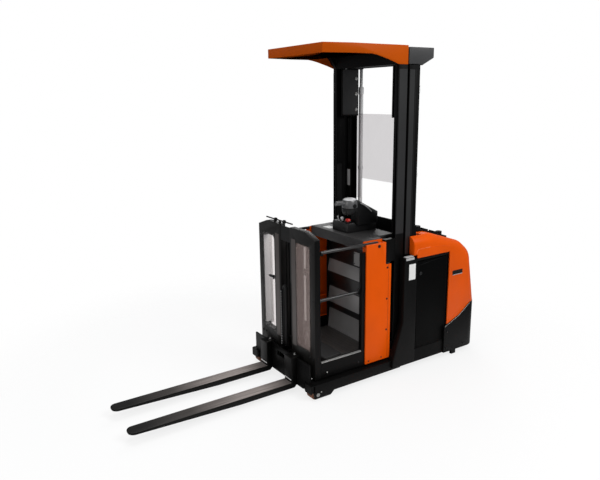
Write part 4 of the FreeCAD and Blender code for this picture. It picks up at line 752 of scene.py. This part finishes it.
# %% Front frames
hazy_cover = make_clear("hazy_cover", (0.95, 0.93, 0.92), 0.83, 0.5, film=(0.74, 0.58, 0.54))
bright_cover = make_clear("bright_cover", (0.99, 0.98, 0.98), 0.95, 0.4)
stile_brown = make_finish("stile_brown", (0.062, 0.051, 0.047), 0.42, vary=0.12, grain=300)
pane_low, pane_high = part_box("windows")
PANE_INNER = 0.139
PANE_OUTER = 0.31
SCREW_Y, STILE_Y, LIP_Y, REVEAL_Y, SEAL_Y = 0.335, 0.108, 0.253, 0.2995, 0.355
FOOT_BOLTS = (0.3, 0.34)
COVER_Z = 1.095
SEALS = ((0.243, 0.631), (0.69, 0.866))
CATCH_Z = 0.742
CLAMPS = (0.143, 0.028)
pane_span = pane_high.z - pane_low.z
pane_z = (pane_low.z + pane_high.z) / 2
for side_name, side in SIDES:
    frame_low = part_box(f"front_frame_{side_name}")[0]
    front_x = frame_low.x
    left_y, right_y = sorted((side * PANE_INNER, side * PANE_OUTER))
    add_bolts(
        f"frame_screws_{side_name}", dark_bolt, "cab",
        [(front_x, side * SCREW_Y, z) for z in (pane_low.z + 0.03, pane_z, pane_high.z - 0.05)],
        FRONT, 0.004)
    add_piece(
        f"stile_cover_{side_name}", stile_brown, "cab",
        slab(0.052, pane_span + 0.03, 0.0015, (front_x, side * STILE_Y, pane_z), FRONT,
             edge=0.0008))
    add_piece(
        f"frame_lip_{side_name}", black_paint, "cab",
        slab(0.11, 0.034, 0.004, (front_x + 0.006, side * LIP_Y, frame_low.z - 0.013), FRONT))
    add_bolts(f"frame_foot_bolts_{side_name}", dark_bolt, "cab",
              [(front_x, side * y, frame_low.z + 0.15) for y in FOOT_BOLTS], FRONT, 0.007)
    add_piece(
        f"window_gasket_{side_name}", grey_rubber, "cab",
        *[slab(pane_span - 0.05, 0.01, 0.006, (pane_low.x - 0.003, y, pane_z), (0, out, 0),
               up=ALONG, corner=0.003, edge=0.002) for y, out in ((left_y, 1), (right_y, -1))])
    add_piece(
        f"pane_cover_{side_name}", hazy_cover if side == NEAR else bright_cover, "cab",
        slab(right_y - left_y - 0.006, pane_span - 0.006, 0.003,
             (front_x, (left_y + right_y) / 2, pane_z), FRONT, corner=0.008, edge=0.0008))
# The near frame's outward side faces get black paint. This is painted shade, so they read darker
# than its front faces.
repaint("front_frame_near", black_paint, lambda _middle, normal: normal.y < -0.7)
add_piece(
    "pane_reveal_far", reveal_white, "cab",
    slab(0.068, pane_span - 0.03, 0.0012, (pane_low.x - 0.008, REVEAL_Y, pane_z), (0, -1, 0),
         edge=0.0004))
add_piece(
    "mast_top_cover", slot_black, "cab",
    slab(0.136, 0.106, 0.004, (front_x + 0.006, 0, COVER_Z), FRONT, corner=0.01, edge=0.002))
add_piece(
    "pillar_seals_far", reveal_white, "cab",
    *[slab(0.036, seal_to - seal_from, 0.002, (pillar_low.x, SEAL_Y, (seal_from + seal_to) / 2),
           FRONT, corner=0.003, edge=0.0006) for seal_from, seal_to in SEALS])
add_piece(
    "window_catch", slot_black, "cab",
    turned([(0.011, -0.002), (0.011, 0.01), (0.009, 0.012)],
           (pane_low.x - 0.04, PANE_INNER + 0.03, CATCH_Z), FRONT, 24),
    turned([(0.009, 0), (0.01, 0.05), (0.004, 0.072)],
           (pane_low.x - 0.046, PANE_INNER + 0.02, CATCH_Z), (0, 1, -0.05), 16))
rod_low, rod_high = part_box("front_frame_far")
add_piece(
    "rod_clamps", slot_black, "cab",
    *[slab(0.026, 0.026, 0.013, (rod_low.x + 0.014, y - 0.0065, rod_high.z - 0.006), ACROSS,
           corner=0.01, edge=0.002) for y in CLAMPS])
print("front frames dressed")

# %% [markdown]
# Between the frames a leaf chain lifts the fork carriage. Each link is three thin rounded plates
# on a pin, laid link after link down the middle of the fork mast, and the light head of every pin
# shows at the front. The run on the cab's side of the pulley doesn't move, so it rides with the
# cab.

# %% The lift chain
hose_low, hose_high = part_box("hose_loop")
CHAIN_Y = 0.021
CHAIN_PITCH = 0.019
PLATE_PITCH = 0.0045
LINK_LAP = 1.35
LINK_LEAN = 0.0012
chain_x = hose_low.x - 0.005
chain_from = hose_low.z + 0.012
links = int((hose_high.z - 0.03 - chain_from) / CHAIN_PITCH)
chain, studs = [], []
for link in range(links):
    z = chain_from + link * CHAIN_PITCH
    lean = LINK_LEAN if link % 2 else 0
    for plate in (-1, 0, 1):
        chain.append(slab(0.011, CHAIN_PITCH * LINK_LAP, 0.0022,
                          (chain_x, CHAIN_Y + plate * PLATE_PITCH + lean, z), ACROSS,
                          corner=0.0052, edge=0.0005))
    chain.append(turned([(0.0026, 0), (0.0026, 0.016)], (chain_x, CHAIN_Y - 0.007, z), ACROSS, 8))
    studs.append(turned([(0.0046, -0.003), (0.0046, 0.001), (0.003, 0.002)],
                        (chain_x - 0.0055, CHAIN_Y, z), FRONT, 12))
add_piece("lift_chain", slot_black, "cab", *chain)
add_piece("lift_chain_studs", cap_grey, "cab", *studs)
refinish("hose_loop", slot_black)
print("chain links", links)

# %% [markdown]
# The wall under the desk is one sheet folded like an accordion. Its faces are painted by the way
# they turn. Front faces that tilt up get a light grey, a painted highlight for the light from the
# open front. Those that tilt down get near black, which is painted shade. The top cover has three
# short slots and an inspection plate in the same painted light grey, held by four screws. Beside
# the wall the far side panel has a black liner, with two orange flanges of the round openings in
# front of it.

# %% The knee wall
knee_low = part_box("knee_panel")[0]
knee_painted_lit = make_finish("knee_painted_lit", (0.36, 0.358, 0.356), 0.34, vary=0.25, grain=300, cloud=2.2)
knee_painted_shade = make_finish("knee_painted_shade", (0.008, 0.0082, 0.0084), 0.34, vary=0.4, grain=300, cloud=2.2)
TO_FRONT = -0.3
TO_SKY = 0.05
# These are lit and shaded copies of one finish, chosen by the faces' normals: painted light and
# painted shade.
print("light faces", repaint("knee_panel", knee_painted_lit, lambda _middle, normal:
                             normal.x < TO_FRONT and normal.z > TO_SKY))
print("dark faces", repaint("knee_panel", knee_painted_shade, lambda _middle, normal:
                            normal.x < TO_FRONT and normal.z < TO_SKY))
FOLD_TOP = 0.75
SHORT_SLOTS = (0.155, 0.006, -0.139)
PLATE_Y, PLATE_RISE = -0.105, 0.066
PLATE_SCREWS = ((-0.205, 0.025), (-0.205, 0.107), (-0.005, 0.025), (-0.005, 0.107))
LINER_FROM, LINER_Z = 0.446, 0.6
FLANGES = (0.445, 0.27)
add_piece(
    "knee_slots", slot_black, "cab",
    *[slab(0.006, 0.034, 0.0008, (knee_low.x + 0.0165, y, FOLD_TOP - 0.03), (-1, 0, 0.18),
           corner=0.0028, edge=0.0002) for y in SHORT_SLOTS])
add_piece(
    "inspection_plate", knee_painted_lit, "cab",
    slab(0.22, 0.105, 0.003, (knee_low.x + 0.018, PLATE_Y, FOLD_TOP + PLATE_RISE), FRONT,
         corner=0.006))
add_bolts(
    "inspection_screws", dark_bolt, "cab",
    [(knee_low.x + 0.015, y, FOLD_TOP + z) for y, z in PLATE_SCREWS], FRONT, 0.0035)
panel_low, panel_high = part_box("side_panel_far")
inner_y = panel_low.y
add_piece(
    "panel_liner_far", slot_black, "cab",
    slab(panel_high.x - LINER_FROM - 0.002, 0.78, 0.002,
         ((LINER_FROM + panel_high.x) / 2, inner_y, LINER_Z), (0, -1, 0), edge=0.0006))
add_piece(
    "panel_rings_far", orange_paint, "cab",
    *[slab(0.06, 0.008, 0.008, (LINER_FROM - 0.036, inner_y, ring_z), (0, -1, 0), corner=0.003,
           edge=0.002) for ring_z in FLANGES])
print("knee wall dressed")

# %% [markdown]
# The steering unit carries the one silver thing on the desk. Its cap is a shallow dome on a dark
# grey shoulder, with a black seam and a black round housing under it. A grey lever reaches forward
# from the housing, and a sloping black grip falls away behind it. A light grey strip along each
# edge of the grip is a painted highlight. The dome is turned over the solid's own cap, so it can
# have the soft shoulder that a cone lacks.

# %% The steering unit
handle_black = make_finish("handle_black", (0.0085, 0.0085, 0.0088), 0.42, bump=0.04, specular=0.4)
dome_grey = make_finish("dome_grey", (0.1, 0.1, 0.102), 0.3, coat=0.3)
steer_low, steer_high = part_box("steering_unit")
CAP_REACH = 0.059
CAP_BACK = 0.245
CAP_DROP = 0.072
COVERED_FROM = 0.012
RINGS, RING_PITCH = 5, 0.011
GRIP_LINE = ((0.058, 0.036), (0.09, 0.05), (0.13, 0.08), (0.16, 0.108))
cap_x = steer_high.x - CAP_BACK
cap_y = (steer_low.y + steer_high.y) / 2
cap_base = steer_high.z - CAP_DROP
cap_foot = (cap_x, cap_y, cap_base)


def clear_faces(node, wanted):
    """Take away the faces of a skin that a finer piece covers."""
    work = bmesh.new()
    work.from_mesh(skins[node].data)
    gone = [face for face in work.faces if wanted(face.calc_center_median(), face.normal)]
    bmesh.ops.delete(work, geom=gone, context="FACES")
    work.to_mesh(skins[node].data)
    work.free()
    return len(gone)


def under_dome(middle, _normal):
    """Whether a face belongs to the solid's own round cap."""
    from_axis = Vector((middle.x - cap_x, middle.y - cap_y)).length
    return from_axis < CAP_REACH and middle.z > cap_base + COVERED_FROM


print("covered faces", clear_faces("steering_unit", under_dome))
refinish("steering_unit", handle_black)
refinish("control_box", handle_black)
print("lever faces",
      repaint("steering_unit", dome_grey, lambda middle, _normal: middle.x < cap_x - CAP_REACH))
add_piece(
    "steering_cap", silver_plastic, "cab",
    turned([(0.05, 0.06), (0.049, 0.063), (0.042, 0.0685), (0.032, 0.0725), (0.017, 0.0752),
            (0.002, 0.0756)], cap_foot, UP, 48))
add_piece(
    "steering_shoulder", dome_grey, "cab",
    turned([(0.057, 0.004), (0.0582, 0.01), (0.058, 0.03), (0.0562, 0.043), (0.0535, 0.053),
            (0.05, 0.0605), (0.048, 0.0625)], cap_foot, UP, 48))
add_piece(
    "steering_seams", slot_black, "cab",
    turned([(0.056, -0.004), (0.059, -0.003), (0.059, 0.0015), (0.0575, 0.004)], cap_foot, UP, 48),
    turned([(0.0135, 0), (0.015, 0.004), (0.0135, 0.01)], (cap_x, cap_y - 0.054, cap_base + 0.02),
           (0, -1, 0.1), 24))
add_piece(
    "steering_housing", handle_black, "cab",
    turned([(0.046, -0.046), (0.052, -0.04), (0.0566, -0.024), (0.0578, -0.01), (0.0575, -0.003)],
           cap_foot, UP, 40))
# The light grey strips along the grip's edges are painted highlights.
for side_name, side in SIDES:
    y = cap_y + side * (steer_high.y - cap_y + 0.0012)
    add_tube(f"grip_highlight_{side_name}", cap_grey, "cab",
             [(cap_x + back, y, steer_high.z - drop) for back, drop in GRIP_LINE], 0.0042)
lever_z = steer_high.z - 0.026
add_piece(
    "lever_grip", dome_grey, "cab",
    *[turned([(0.0128, 0), (0.0142, 0.003), (0.0142, 0.006), (0.0128, 0.009)],
             (steer_low.x + 0.06 - RING_PITCH * ring, cap_y, lever_z), FRONT, 24)
      for ring in range(RINGS)])
print("steering unit dressed")

# %% [markdown]
# The switch box carries a red stop button in a black collar, a light grey knob and a small lever.
# Its sloping brow holds a dark display with no figures and a row of plain keys. A blank notice
# and a round tray are let into the desk.

# %% Switches and the desk top
box_low, box_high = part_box("control_box")
desk_low, desk_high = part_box("desk")
brow = box_high.z
STOP_Y, KNOB_Y, LEVER_Y = -0.055, 0.006, 0.046
switch_x = box_low.x + 0.018
KEYS, KEY_PITCH = 5, 0.018
DESK_SCREWS = ((0.31, -0.3), (0.31, 0.3), (0.06, 0.29), (0.31, -0.15))
add_piece(
    "switch_collars", slot_black, "cab",
    turned([(0.017, -0.002), (0.017, 0.006), (0.014, 0.009)], (switch_x, STOP_Y + 0.003, brow), UP,
           28),
    turned([(0.013, -0.002), (0.013, 0.006), (0.01, 0.008)], (switch_x, KNOB_Y, brow), UP, 28))
add_piece(
    "stop_button", red_button, "cab",
    turned([(0.01, 0), (0.01, 0.012), (0.019, 0.016), (0.02, 0.023), (0.016, 0.03),
            (0.006, 0.033)], (box_low.x + 0.02, STOP_Y, brow), UP, 28))
add_piece(
    "switch_knobs", silver_plastic, "cab",
    turned([(0.006, 0), (0.006, 0.014), (0.012, 0.02), (0.0135, 0.028), (0.011, 0.036),
            (0.004, 0.039)], (switch_x, KNOB_Y, brow), (-0.15, 0, 1), 28),
    turned([(0.0035, 0), (0.0045, 0.03), (0.0055, 0.036), (0.004, 0.04)],
           (box_low.x + 0.016, LEVER_Y, brow), (-0.3, 0.1, 1), 16))
add_piece(
    "display", slot_black, "cab",
    slab(0.09, 0.05, 0.0015, (box_low.x + 0.2, 0.055, box_high.z - 0.016), UP, up=ALONG,
         edge=0.0006))
add_piece(
    "keys", grey_plastic, "cab",
    *[slab(0.011, 0.011, 0.002, (box_low.x + 0.155, 0.018 + KEY_PITCH * key, box_high.z - 0.016),
           UP, up=ALONG, corner=0.003, edge=0.0007) for key in range(KEYS)])
add_piece(
    "desk_notice", blank_label, "cab",
    slab(0.085, 0.06, 0.0006, (desk_low.x + 0.075, 0.185, desk_high.z), UP, up=ALONG, edge=0.0002))
add_piece(
    "desk_tray_ring", grey_rubber, "cab",
    turned([(0.04, -0.001), (0.04, 0.0012), (0.037, 0.0022), (0.035, 0.0012), (0.033, 0.0004),
            (0.004, 0.0003)], (desk_low.x + 0.15, -0.262, desk_high.z), UP, 40))
add_bolts(
    "desk_screws", dark_bolt, "cab", [(desk_low.x + x, y, desk_high.z) for x, y in DESK_SCREWS],
    UP, 0.004)
print("desk dressed")

# %% [markdown]
# The hood is one moulding with a pressed step along its shoulder. To lay a bead on a curved skin
# one could shrinkwrap it. Here a ray is cast from the side at each named height, and the bead
# follows the points it hits. Its centre lies just under the skin, so only a soft ridge shows. A
# finer line of light orange on its first stretch is a painted highlight, where the edge catches the
# lamp.


# %% Lines that follow a skin
hood_low, hood_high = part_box("hood")
hood_tree = skin_tree("hood")
BEAD = 0.0032
highlight_orange = make_finish("highlight_orange", (0.95, 0.34, 0.13), 0.3, vary=0.05, grain=300, bump=0.01,
                          coat=0.3)
SHOULDER = ((0.024, 0.622), (0.028, 0.645), (0.05, 0.655), (0.158, 0.653), (0.26, 0.648),
            (0.33, 0.64), (0.366, 0.63))
for side_name, side in SIDES:
    outside = side * (hood_high.y + 0.2)
    points = [cast(hood_tree, (hood_low.x + x, outside, hood_low.z + z), (0, -side, 0), 0.0015)
              for x, z in SHOULDER]
    add_tube(f"shoulder_bead_{side_name}", orange_paint, "hood_lid", points, BEAD)
    # The light orange line is a painted highlight on the step's edge.
    add_tube(f"shoulder_highlight_{side_name}", highlight_orange, "hood_lid",
             [point + Vector((0, side * 0.0012, 0.0004)) for point in points[:4]], 0.002)
print("shoulder beads", BEAD)

# %% [markdown]
# A slot in each side of the hood lets the motor breathe. It is a dark moulding with three slats and
# a grey lower lip. The seam between hood and bumper is edged with a thin silver trim that sweeps up
# and runs round the tail. Its light line also paints the highlight along the bumper's top edge.

# %% Slots, trim and hood screws
TRIM_ABOVE, ABOVE = 1, 1.4
SLOT_X = 0.463
SLOT_Z = 0.409
SLAT_PITCH = 0.009
BUMPER_SCREWS = ((0.03, 0.03), (0.03, 0.17), (0.22, 0.03))
HOOD_SCREW_X, HOOD_SCREW_Y = 0.6, 0.2
RECESS_Z = 0.22
for side_name, side in SIDES:
    centre = Vector((hood_low.x + SLOT_X, side * hood_high.y, hood_low.z + SLOT_Z))
    add_piece(
        f"hood_slot_{side_name}", slot_black, "hood_lid",
        slab(0.112, 0.036, 0.0022, centre - Vector((0, side * 0.0008, 0)), (0, side, 0),
             corner=0.005),
        *[slab(0.098, 0.004, 0.0018, centre + Vector((0, side * 0.0012, SLAT_PITCH * (1 - slat))),
               (0, side, 0.3), corner=0.0018, edge=0.0006) for slat in range(3)])
    add_piece(
        f"hood_slot_lip_{side_name}", cap_grey, "hood_lid",
        slab(0.108, 0.005, 0.002, centre + Vector((0, side * 0.0008, -0.0165)), (0, side, 0),
             corner=0.002, edge=0.0007))
bumper_low, bumper_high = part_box("rear_bumper")
bumper_tree = skin_tree("rear_bumper")
TAIL_RADIUS = 0.11
WALL_IN = 0.0025
trim_from = bumper_low.x + 0.006
trim_to = bumper_high.x - TAIL_RADIUS
bend = TAIL_RADIUS - WALL_IN
trim_points = [(trim_from + (trim_to - trim_from) * step / 12, bumper_low.y + WALL_IN)
               for step in range(13)]
for step in range(1, 9):
    angle = math.radians(-90 + 90 * step / 8)
    trim_points.append((trim_to + bend * math.cos(angle),
                        bumper_low.y + TAIL_RADIUS + bend * math.sin(angle)))
route = [cast(bumper_tree, (x, y, TRIM_ABOVE), DOWN) for x, y in trim_points]
route += [Vector((point.x, -point.y, point.z)) for point in reversed(route)]
# The silver trim is partly a painted highlight along the bumper's top edge.
add_tube("bumper_trim_highlight", brushed_edge, "chassis", route, 0.0019)
for side_name, side in SIDES:
    add_bolts(
        f"bumper_screws_{side_name}", dark_bolt, "chassis",
        [(bumper_low.x + x, side * bumper_high.y, bumper_low.z + z) for x, z in BUMPER_SCREWS],
        (0, side, 0), 0.006)
    add_bolts(f"hood_screws_{side_name}", dark_bolt, "hood_lid",
              [cast(hood_tree, (hood_low.x + HOOD_SCREW_X, side * HOOD_SCREW_Y, ABOVE), DOWN)],
              UP, 0.004)
add_piece(
    "hood_handle_recess", slot_black, "hood_lid",
    slab(0.16, 0.022, 0.004, (hood_high.x - 0.0015, 0, hood_low.z + RECESS_Z), (1, 0, 0),
         corner=0.008, edge=0.002))
print("bumper trim points", len(route))

# %% [markdown]
# Each battery hatch is a flat black door. A raised rim runs round it a finger's width inside the
# edge, and a flush lock sits near its free edge. The mast shroud beside it carries a light cap on
# its shoulder and a white notice with nothing printed on it.

# %% Hatches, shrouds and labels
RIM = 0.016
SLOPE = 0.03
LOCK_X, LOCK_Z = 0.045, 0.6
LABEL_IN, LABEL_DROP = 0.048, 0.112
shroud_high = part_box("mast_shrouds")[1]
cap_middle = shroud_high.x - 0.072
for side_name, side in SIDES:
    low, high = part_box(f"battery_hatch_{side_name}")
    face_y = side * max(abs(low.y), abs(high.y))
    rim = [(low.x + RIM, low.z + RIM), (high.x - RIM, low.z + RIM), (high.x - RIM, high.z - RIM),
           (low.x + RIM, high.z - RIM - SLOPE)]
    add_tube(f"hatch_rim_{side_name}", black_paint, f"hatch_{side_name}",
             [(x, face_y, z) for x, z in rim], 0.0022, closed=True, smooth=False)
    add_piece(
        f"hatch_lock_{side_name}", dark_bolt, f"hatch_{side_name}",
        turned([(0.013, -0.001), (0.013, 0.0015), (0.011, 0.0025), (0.006, 0.0018)],
               (low.x + LOCK_X, face_y, low.z + LOCK_Z), (0, side, 0), 28))
    edge_y = side * shroud_high.y
    add_piece(
        f"shroud_notice_{side_name}", blank_label, "chassis",
        slab(0.064, 0.118, 0.0008, (shroud_high.x - LABEL_IN, edge_y, shroud_high.z - LABEL_DROP),
             (0, side, 0), corner=0.003, edge=0.0003))
    add_piece(
        f"shroud_cap_{side_name}", cap_grey, "chassis",
        slab(0.08, 0.03, 0.006, (cap_middle, edge_y - side * 0.017, shroud_high.z - 0.0005), UP,
             up=ACROSS, corner=0.008, edge=0.003),
        slab(0.08, 0.018, 0.003, (cap_middle, edge_y, shroud_high.z - 0.012), (0, side, 0),
             corner=0.005, edge=0.0015))
print("hatches and labels made")

# %% [markdown]
# The columns are rolled profiles. Seen from the side each shows a wide flat band with a groove
# beside it. The band is painted a shade lighter than the rest, a painted sheen that stands for the
# reflection of a softbox along it. The bands are thin slabs as tall as the column. The posts ride
# with the cab, the outer channels stay with the chassis.

# %% Bands on the columns
# A black a shade lighter than the columns' steel. On the bands it is a painted sheen, and the
# channel covers and lines below wear it too.
satin_black_painted_sheen = make_finish("satin_black_painted_sheen", (0.014, 0.014, 0.0143), 0.38, vary=0.3, grain=300,
                          cloud=1.6)
BAND_TOP = 0.03
STRIP_SUNK = 0.0002
post_from = desk_high.z + 0.02
post_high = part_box("cab_posts")[1]
outer_from = 0.9
outer_low, outer_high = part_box("mast_outer")
# Each strip: name, finish, body, width, thickness, corner, rim, x, foot, the column's far corner.
STRIPS = (("post_sheen_band", satin_black_painted_sheen, "cab", 0.07, 0.0012, 0.003, 0.0008, post_high.x - 0.04,
           post_from, post_high),
          ("post_groove", slot_black, "cab", 0.006, 0.0008, 0.002, 0.0004, post_high.x - 0.08,
           post_from, post_high),
          ("mast_sheen_band", satin_black_painted_sheen, "chassis", 0.046, 0.0012, 0.003, 0.0008, outer_low.x + 0.028,
           outer_from, outer_high),
          ("mast_groove", slot_black, "chassis", 0.008, 0.0008, 0.002, 0.0004, outer_low.x + 0.06,
           outer_from, outer_high))
for side_name, side in SIDES:
    for name, finish, body, wide, thick, corner, rim, x, foot, high in STRIPS:
        span = high.z - BAND_TOP - foot
        add_piece(f"{name}_{side_name}", finish, body,
                  slab(wide, span, thick, (x, side * (high.y - STRIP_SUNK), foot + span / 2),
                       (0, side, 0), corner=corner, edge=rim))
print("column bands made")

# %% [markdown]
# The inner channels show their flat insides to the cab. Near the top a cover plate is screwed on
# with three bright bolts. Three fine lines run down the front flange below it, and lower still
# sits a grey notice, left blank. A black duct runs up the inside of each post.

# %% Cover plates on the inner channels
WEB_Y = 0.282
DUCT_SPAN, DUCT_Y = 0.46, 0.327
COVER_DROP, LINES_DROP, NOTICE_DROP = 0.172, 0.54, 0.832
BOLT_DROPS = (0.07, 0.185, 0.302)
LINES_Y = (0.303, 0.32, 0.337)
inner_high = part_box("mast_inner")[1]
flange_x = inner_high.x - 0.066
duct_z = desk_high.z + 0.004 + DUCT_SPAN / 2
for side_name, side in SIDES:
    face_y = side * WEB_Y
    add_piece(
        f"channel_cover_{side_name}", satin_black_painted_sheen, "mast_stage",
        slab(0.15, 0.335, 0.004, (inner_high.x - 0.08, face_y, inner_high.z - COVER_DROP),
             (0, -side, 0), corner=0.01, edge=0.0015))
    add_bolts(
        f"channel_bolts_{side_name}", bright_bolt, "mast_stage",
        [(inner_high.x - 0.026, face_y - side * 0.004, inner_high.z - drop)
         for drop in BOLT_DROPS], (0, -side, 0), 0.0095)
    add_piece(
        f"channel_lines_{side_name}", satin_black_painted_sheen, "mast_stage",
        *[slab(0.004, 0.34, 0.0006, (flange_x, side * y, inner_high.z - LINES_DROP), FRONT,
               corner=0.0015, edge=0.0002) for y in LINES_Y])
    add_piece(
        f"channel_notice_{side_name}", cap_grey, "mast_stage",
        slab(0.044, 0.128, 0.0006, (flange_x, side * 0.321, inner_high.z - NOTICE_DROP), FRONT,
             corner=0.003, edge=0.0002))
    add_piece(
        f"post_duct_{side_name}", slot_black, "cab",
        slab(0.042, DUCT_SPAN, 0.006, (post_high.x - 0.056, side * DUCT_Y, duct_z), (0, -side, 0),
             edge=0.002))
print("channel covers made")

# %% [markdown]
# The mast lifts with two hydraulic cylinders. Their tops carry a screwed gland, and two clamps
# hold each barrel to the channel. All of it is seen from behind and through the screen, so
# barrels and rods wear a light grey primer that hardly shows against a pale wall.

# %% Cylinders and glands
primer_grey = make_finish("primer_grey", (0.78, 0.78, 0.78), 0.5, vary=0.08, grain=300)
refinish("lift_cylinders", primer_grey)
refinish("lift_rods", primer_grey)
low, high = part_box("lift_cylinders")
BARREL_RADIUS = 0.017
CLAMPS_Z = (0.75, 1.45)
centre_x = (low.x + high.x) / 2
for side_name, side in SIDES:
    centre_y = side * (high.y - BARREL_RADIUS)
    add_piece(
        f"cylinder_gland_{side_name}", primer_grey, "chassis",
        turned([(0.0175, -0.055), (0.0205, -0.052), (0.0205, -0.004), (0.0185, 0.001),
                (0.0128, 0.002)], (centre_x, centre_y, high.z), UP, 32),
        turned([(0.0175, 0), (0.0205, 0.002), (0.0205, 0.03), (0.0175, 0.032)],
               (centre_x, centre_y, low.z + 0.1), UP, 32))
    add_piece(
        f"cylinder_clamps_{side_name}", primer_grey, "chassis",
        *[turned([(0.0176, 0), (0.021, 0.001), (0.021, 0.023), (0.0176, 0.024)],
                 (centre_x, centre_y, z), UP, 28) for z in CLAMPS_Z])
print("cylinder glands made")

# %% [markdown]
# The overhead guard is a pressed shell. Under it run four stiffening ribs, and six round studs with
# white caps hold the inner skin. A light grey tube, laid like a cable, runs across the underside as
# a painted highlight: the long streak of light on the black shell. Rays cast upwards from below the
# shell find its underside. A rib hangs from it with only its back sunk in, so nothing comes through
# the top.

# %% Under and on the overhead guard
guard_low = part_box("overhead_guard")[0]
guard_tree = skin_tree("overhead_guard")
STUD_SPOTS = ((0.22, 0.12), (0.22, -0.12), (0.44, 0.22), (0.44, -0.22), (0.6, 0.1), (0.6, -0.1))
STREAK_SPOTS = ((0.267, 0.065), (0.37, 0.054), (0.472, 0.042))
RIBS_Y = (-0.27, -0.09, 0.09, 0.27)
RIB_FROM = 0.1
RIB_STEP = 0.055
RIB_HANG = 0.0055


def underside(x, y, hang=0.0):
    """A point of the guard's underside, or a little below it."""
    return cast(guard_tree, (guard_low.x + x, y, guard_low.z - 0.3), UP, -hang)


for index, (x, y) in enumerate(STUD_SPOTS):
    hit = underside(x, y)
    add_piece(
        f"guard_stud_{index}", lamp_white, "cab",
        turned([(0.011, -0.001), (0.011, 0.003), (0.008, 0.005), (0.003, 0.0055)], hit, DOWN, 20))
for index, y in enumerate(RIBS_Y):
    add_tube(f"guard_rib_{index}", black_paint, "cab",
             [underside(RIB_FROM + RIB_STEP * step, y, RIB_HANG) for step in range(9)], 0.007)
# The grey tube is a painted highlight, the streak of light under the guard.
add_tube("guard_streak_highlight", cap_grey, "cab", [underside(x, y, 0.003) for x, y in STREAK_SPOTS], 0.004)
print("guard studs and ribs made")

# %% [markdown]
# The bars of the side gates are dark satin tubes. Each turns on a bolt through its eye, and the
# bolt's washer and head show on the outside. They ride with the bar, so they turn with it.

# %% Gate bars
bar_grey = make_finish("bar_grey", (0.016, 0.0158, 0.0158), 0.3, vary=0.15)
for level in ("upper", "lower"):
    for side_name, side in SIDES:
        node = f"gate_bar_{level}_{side_name}"
        low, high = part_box(node)
        pin_x = high.x - (0.024 if level == "upper" else 0.016)
        add_piece(
            f"gate_pin_{level}_{side_name}", dark_bolt, f"gate_{level}_{side_name}",
            turned([(0.012, 0), (0.012, 0.002), (0.008, 0.003), (0.008, 0.006), (0.006, 0.007)],
                   (pin_x, low.y if side == NEAR else high.y, low.z + 0.024), (0, side, 0), 20))
        refinish(node, bar_grey)
print("gate pins made")

# %% [markdown]
# Under the hood stand the drive motor and its steering ring. Cast parts get a sand texture,
# cooling fins are thin rings round the motor, and four bright bolts hold its cap. The drive wheel
# and the castors get hubs, which turn with them. The battery is one plain block with a rubber
# lid, and three rows of light cell caps stand on the lid.

# %% Drive unit, battery and castors
drive_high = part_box("drive_unit")[1]
wheel_low, wheel_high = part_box("drive_wheel")
drive_x = (wheel_low.x + wheel_high.x) / 2
FINS_FROM = drive_high.z - 0.3
FINS, FIN_PITCH = 12, 0.018
BOLT_CIRCLE = 0.042
BOLT_TURNS = (0.4, 1.97, 3.54, 5.11)
add_piece(
    "motor_fins", cast_grey, "drive_steer",
    *[turned([(0.08, 0), (0.108, 0.001), (0.108, 0.004), (0.08, 0.005)],
             (drive_x, 0, FINS_FROM + FIN_PITCH * fin), UP, 36) for fin in range(FINS)],
    turned([(0.06, -0.001), (0.06, 0.012), (0.052, 0.018), (0.02, 0.02)],
           (drive_x, 0, drive_high.z), UP, 36))
add_bolts(
    "motor_bolts", bright_bolt, "drive_steer",
    [(drive_x + BOLT_CIRCLE * math.cos(turn), BOLT_CIRCLE * math.sin(turn), drive_high.z + 0.018)
     for turn in BOLT_TURNS], UP, 0.005)
for side_name, side in SIDES:
    add_hub(f"drive_hub_{side_name}", cast_grey, "drive_roll", "drive_wheel",
            [(0.082, -0.002), (0.082, 0.0008), (0.074, 0.002), (0.06, 0.002), (0.05, -0.0005),
             (0.026, 0.0), (0.024, 0.004), (0.01, 0.005)], 40, (side,))
for side_name, side in SIDES:
    add_hub(f"castor_hub_{side_name}", brushed_edge, f"castor_{side_name}_roll",
            f"castor_wheel_{side_name}",
            [(0.024, -0.002), (0.024, 0.0006), (0.018, 0.001), (0.01, 0.0004)], 28, (NEAR, FAR))
    low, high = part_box(f"castor_fork_{side_name}")
    add_piece(
        f"castor_nut_{side_name}", bright_bolt, f"castor_{side_name}",
        turned([(0.014, -0.001), (0.014, 0.006), (0.011, 0.008), (0.004, 0.0085)],
               (high.x - 0.036, (low.y + high.y) / 2, high.z), UP, 24))
low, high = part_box("battery")
LID = 0.004
CELL_X, CELL_Y = 0.06, 0.08
FIRST_X, FIRST_Y = 0.035, -0.28
add_piece(
    "battery_lid", grey_rubber, "chassis",
    slab(high.x - low.x - 0.02, high.y - low.y - 0.02, LID, ((low.x + high.x) / 2, 0, high.z), UP,
         up=ACROSS, corner=0.006))
add_piece(
    "battery_caps", cap_grey, "chassis",
    *[turned([(0.014, 0), (0.014, 0.008), (0.011, 0.011), (0.004, 0.012)],
             (low.x + FIRST_X + CELL_X * row, FIRST_Y + CELL_Y * cell, high.z + LID), UP, 20)
      for row in range(3) for cell in range(8)])
print("drive, castors and battery dressed")
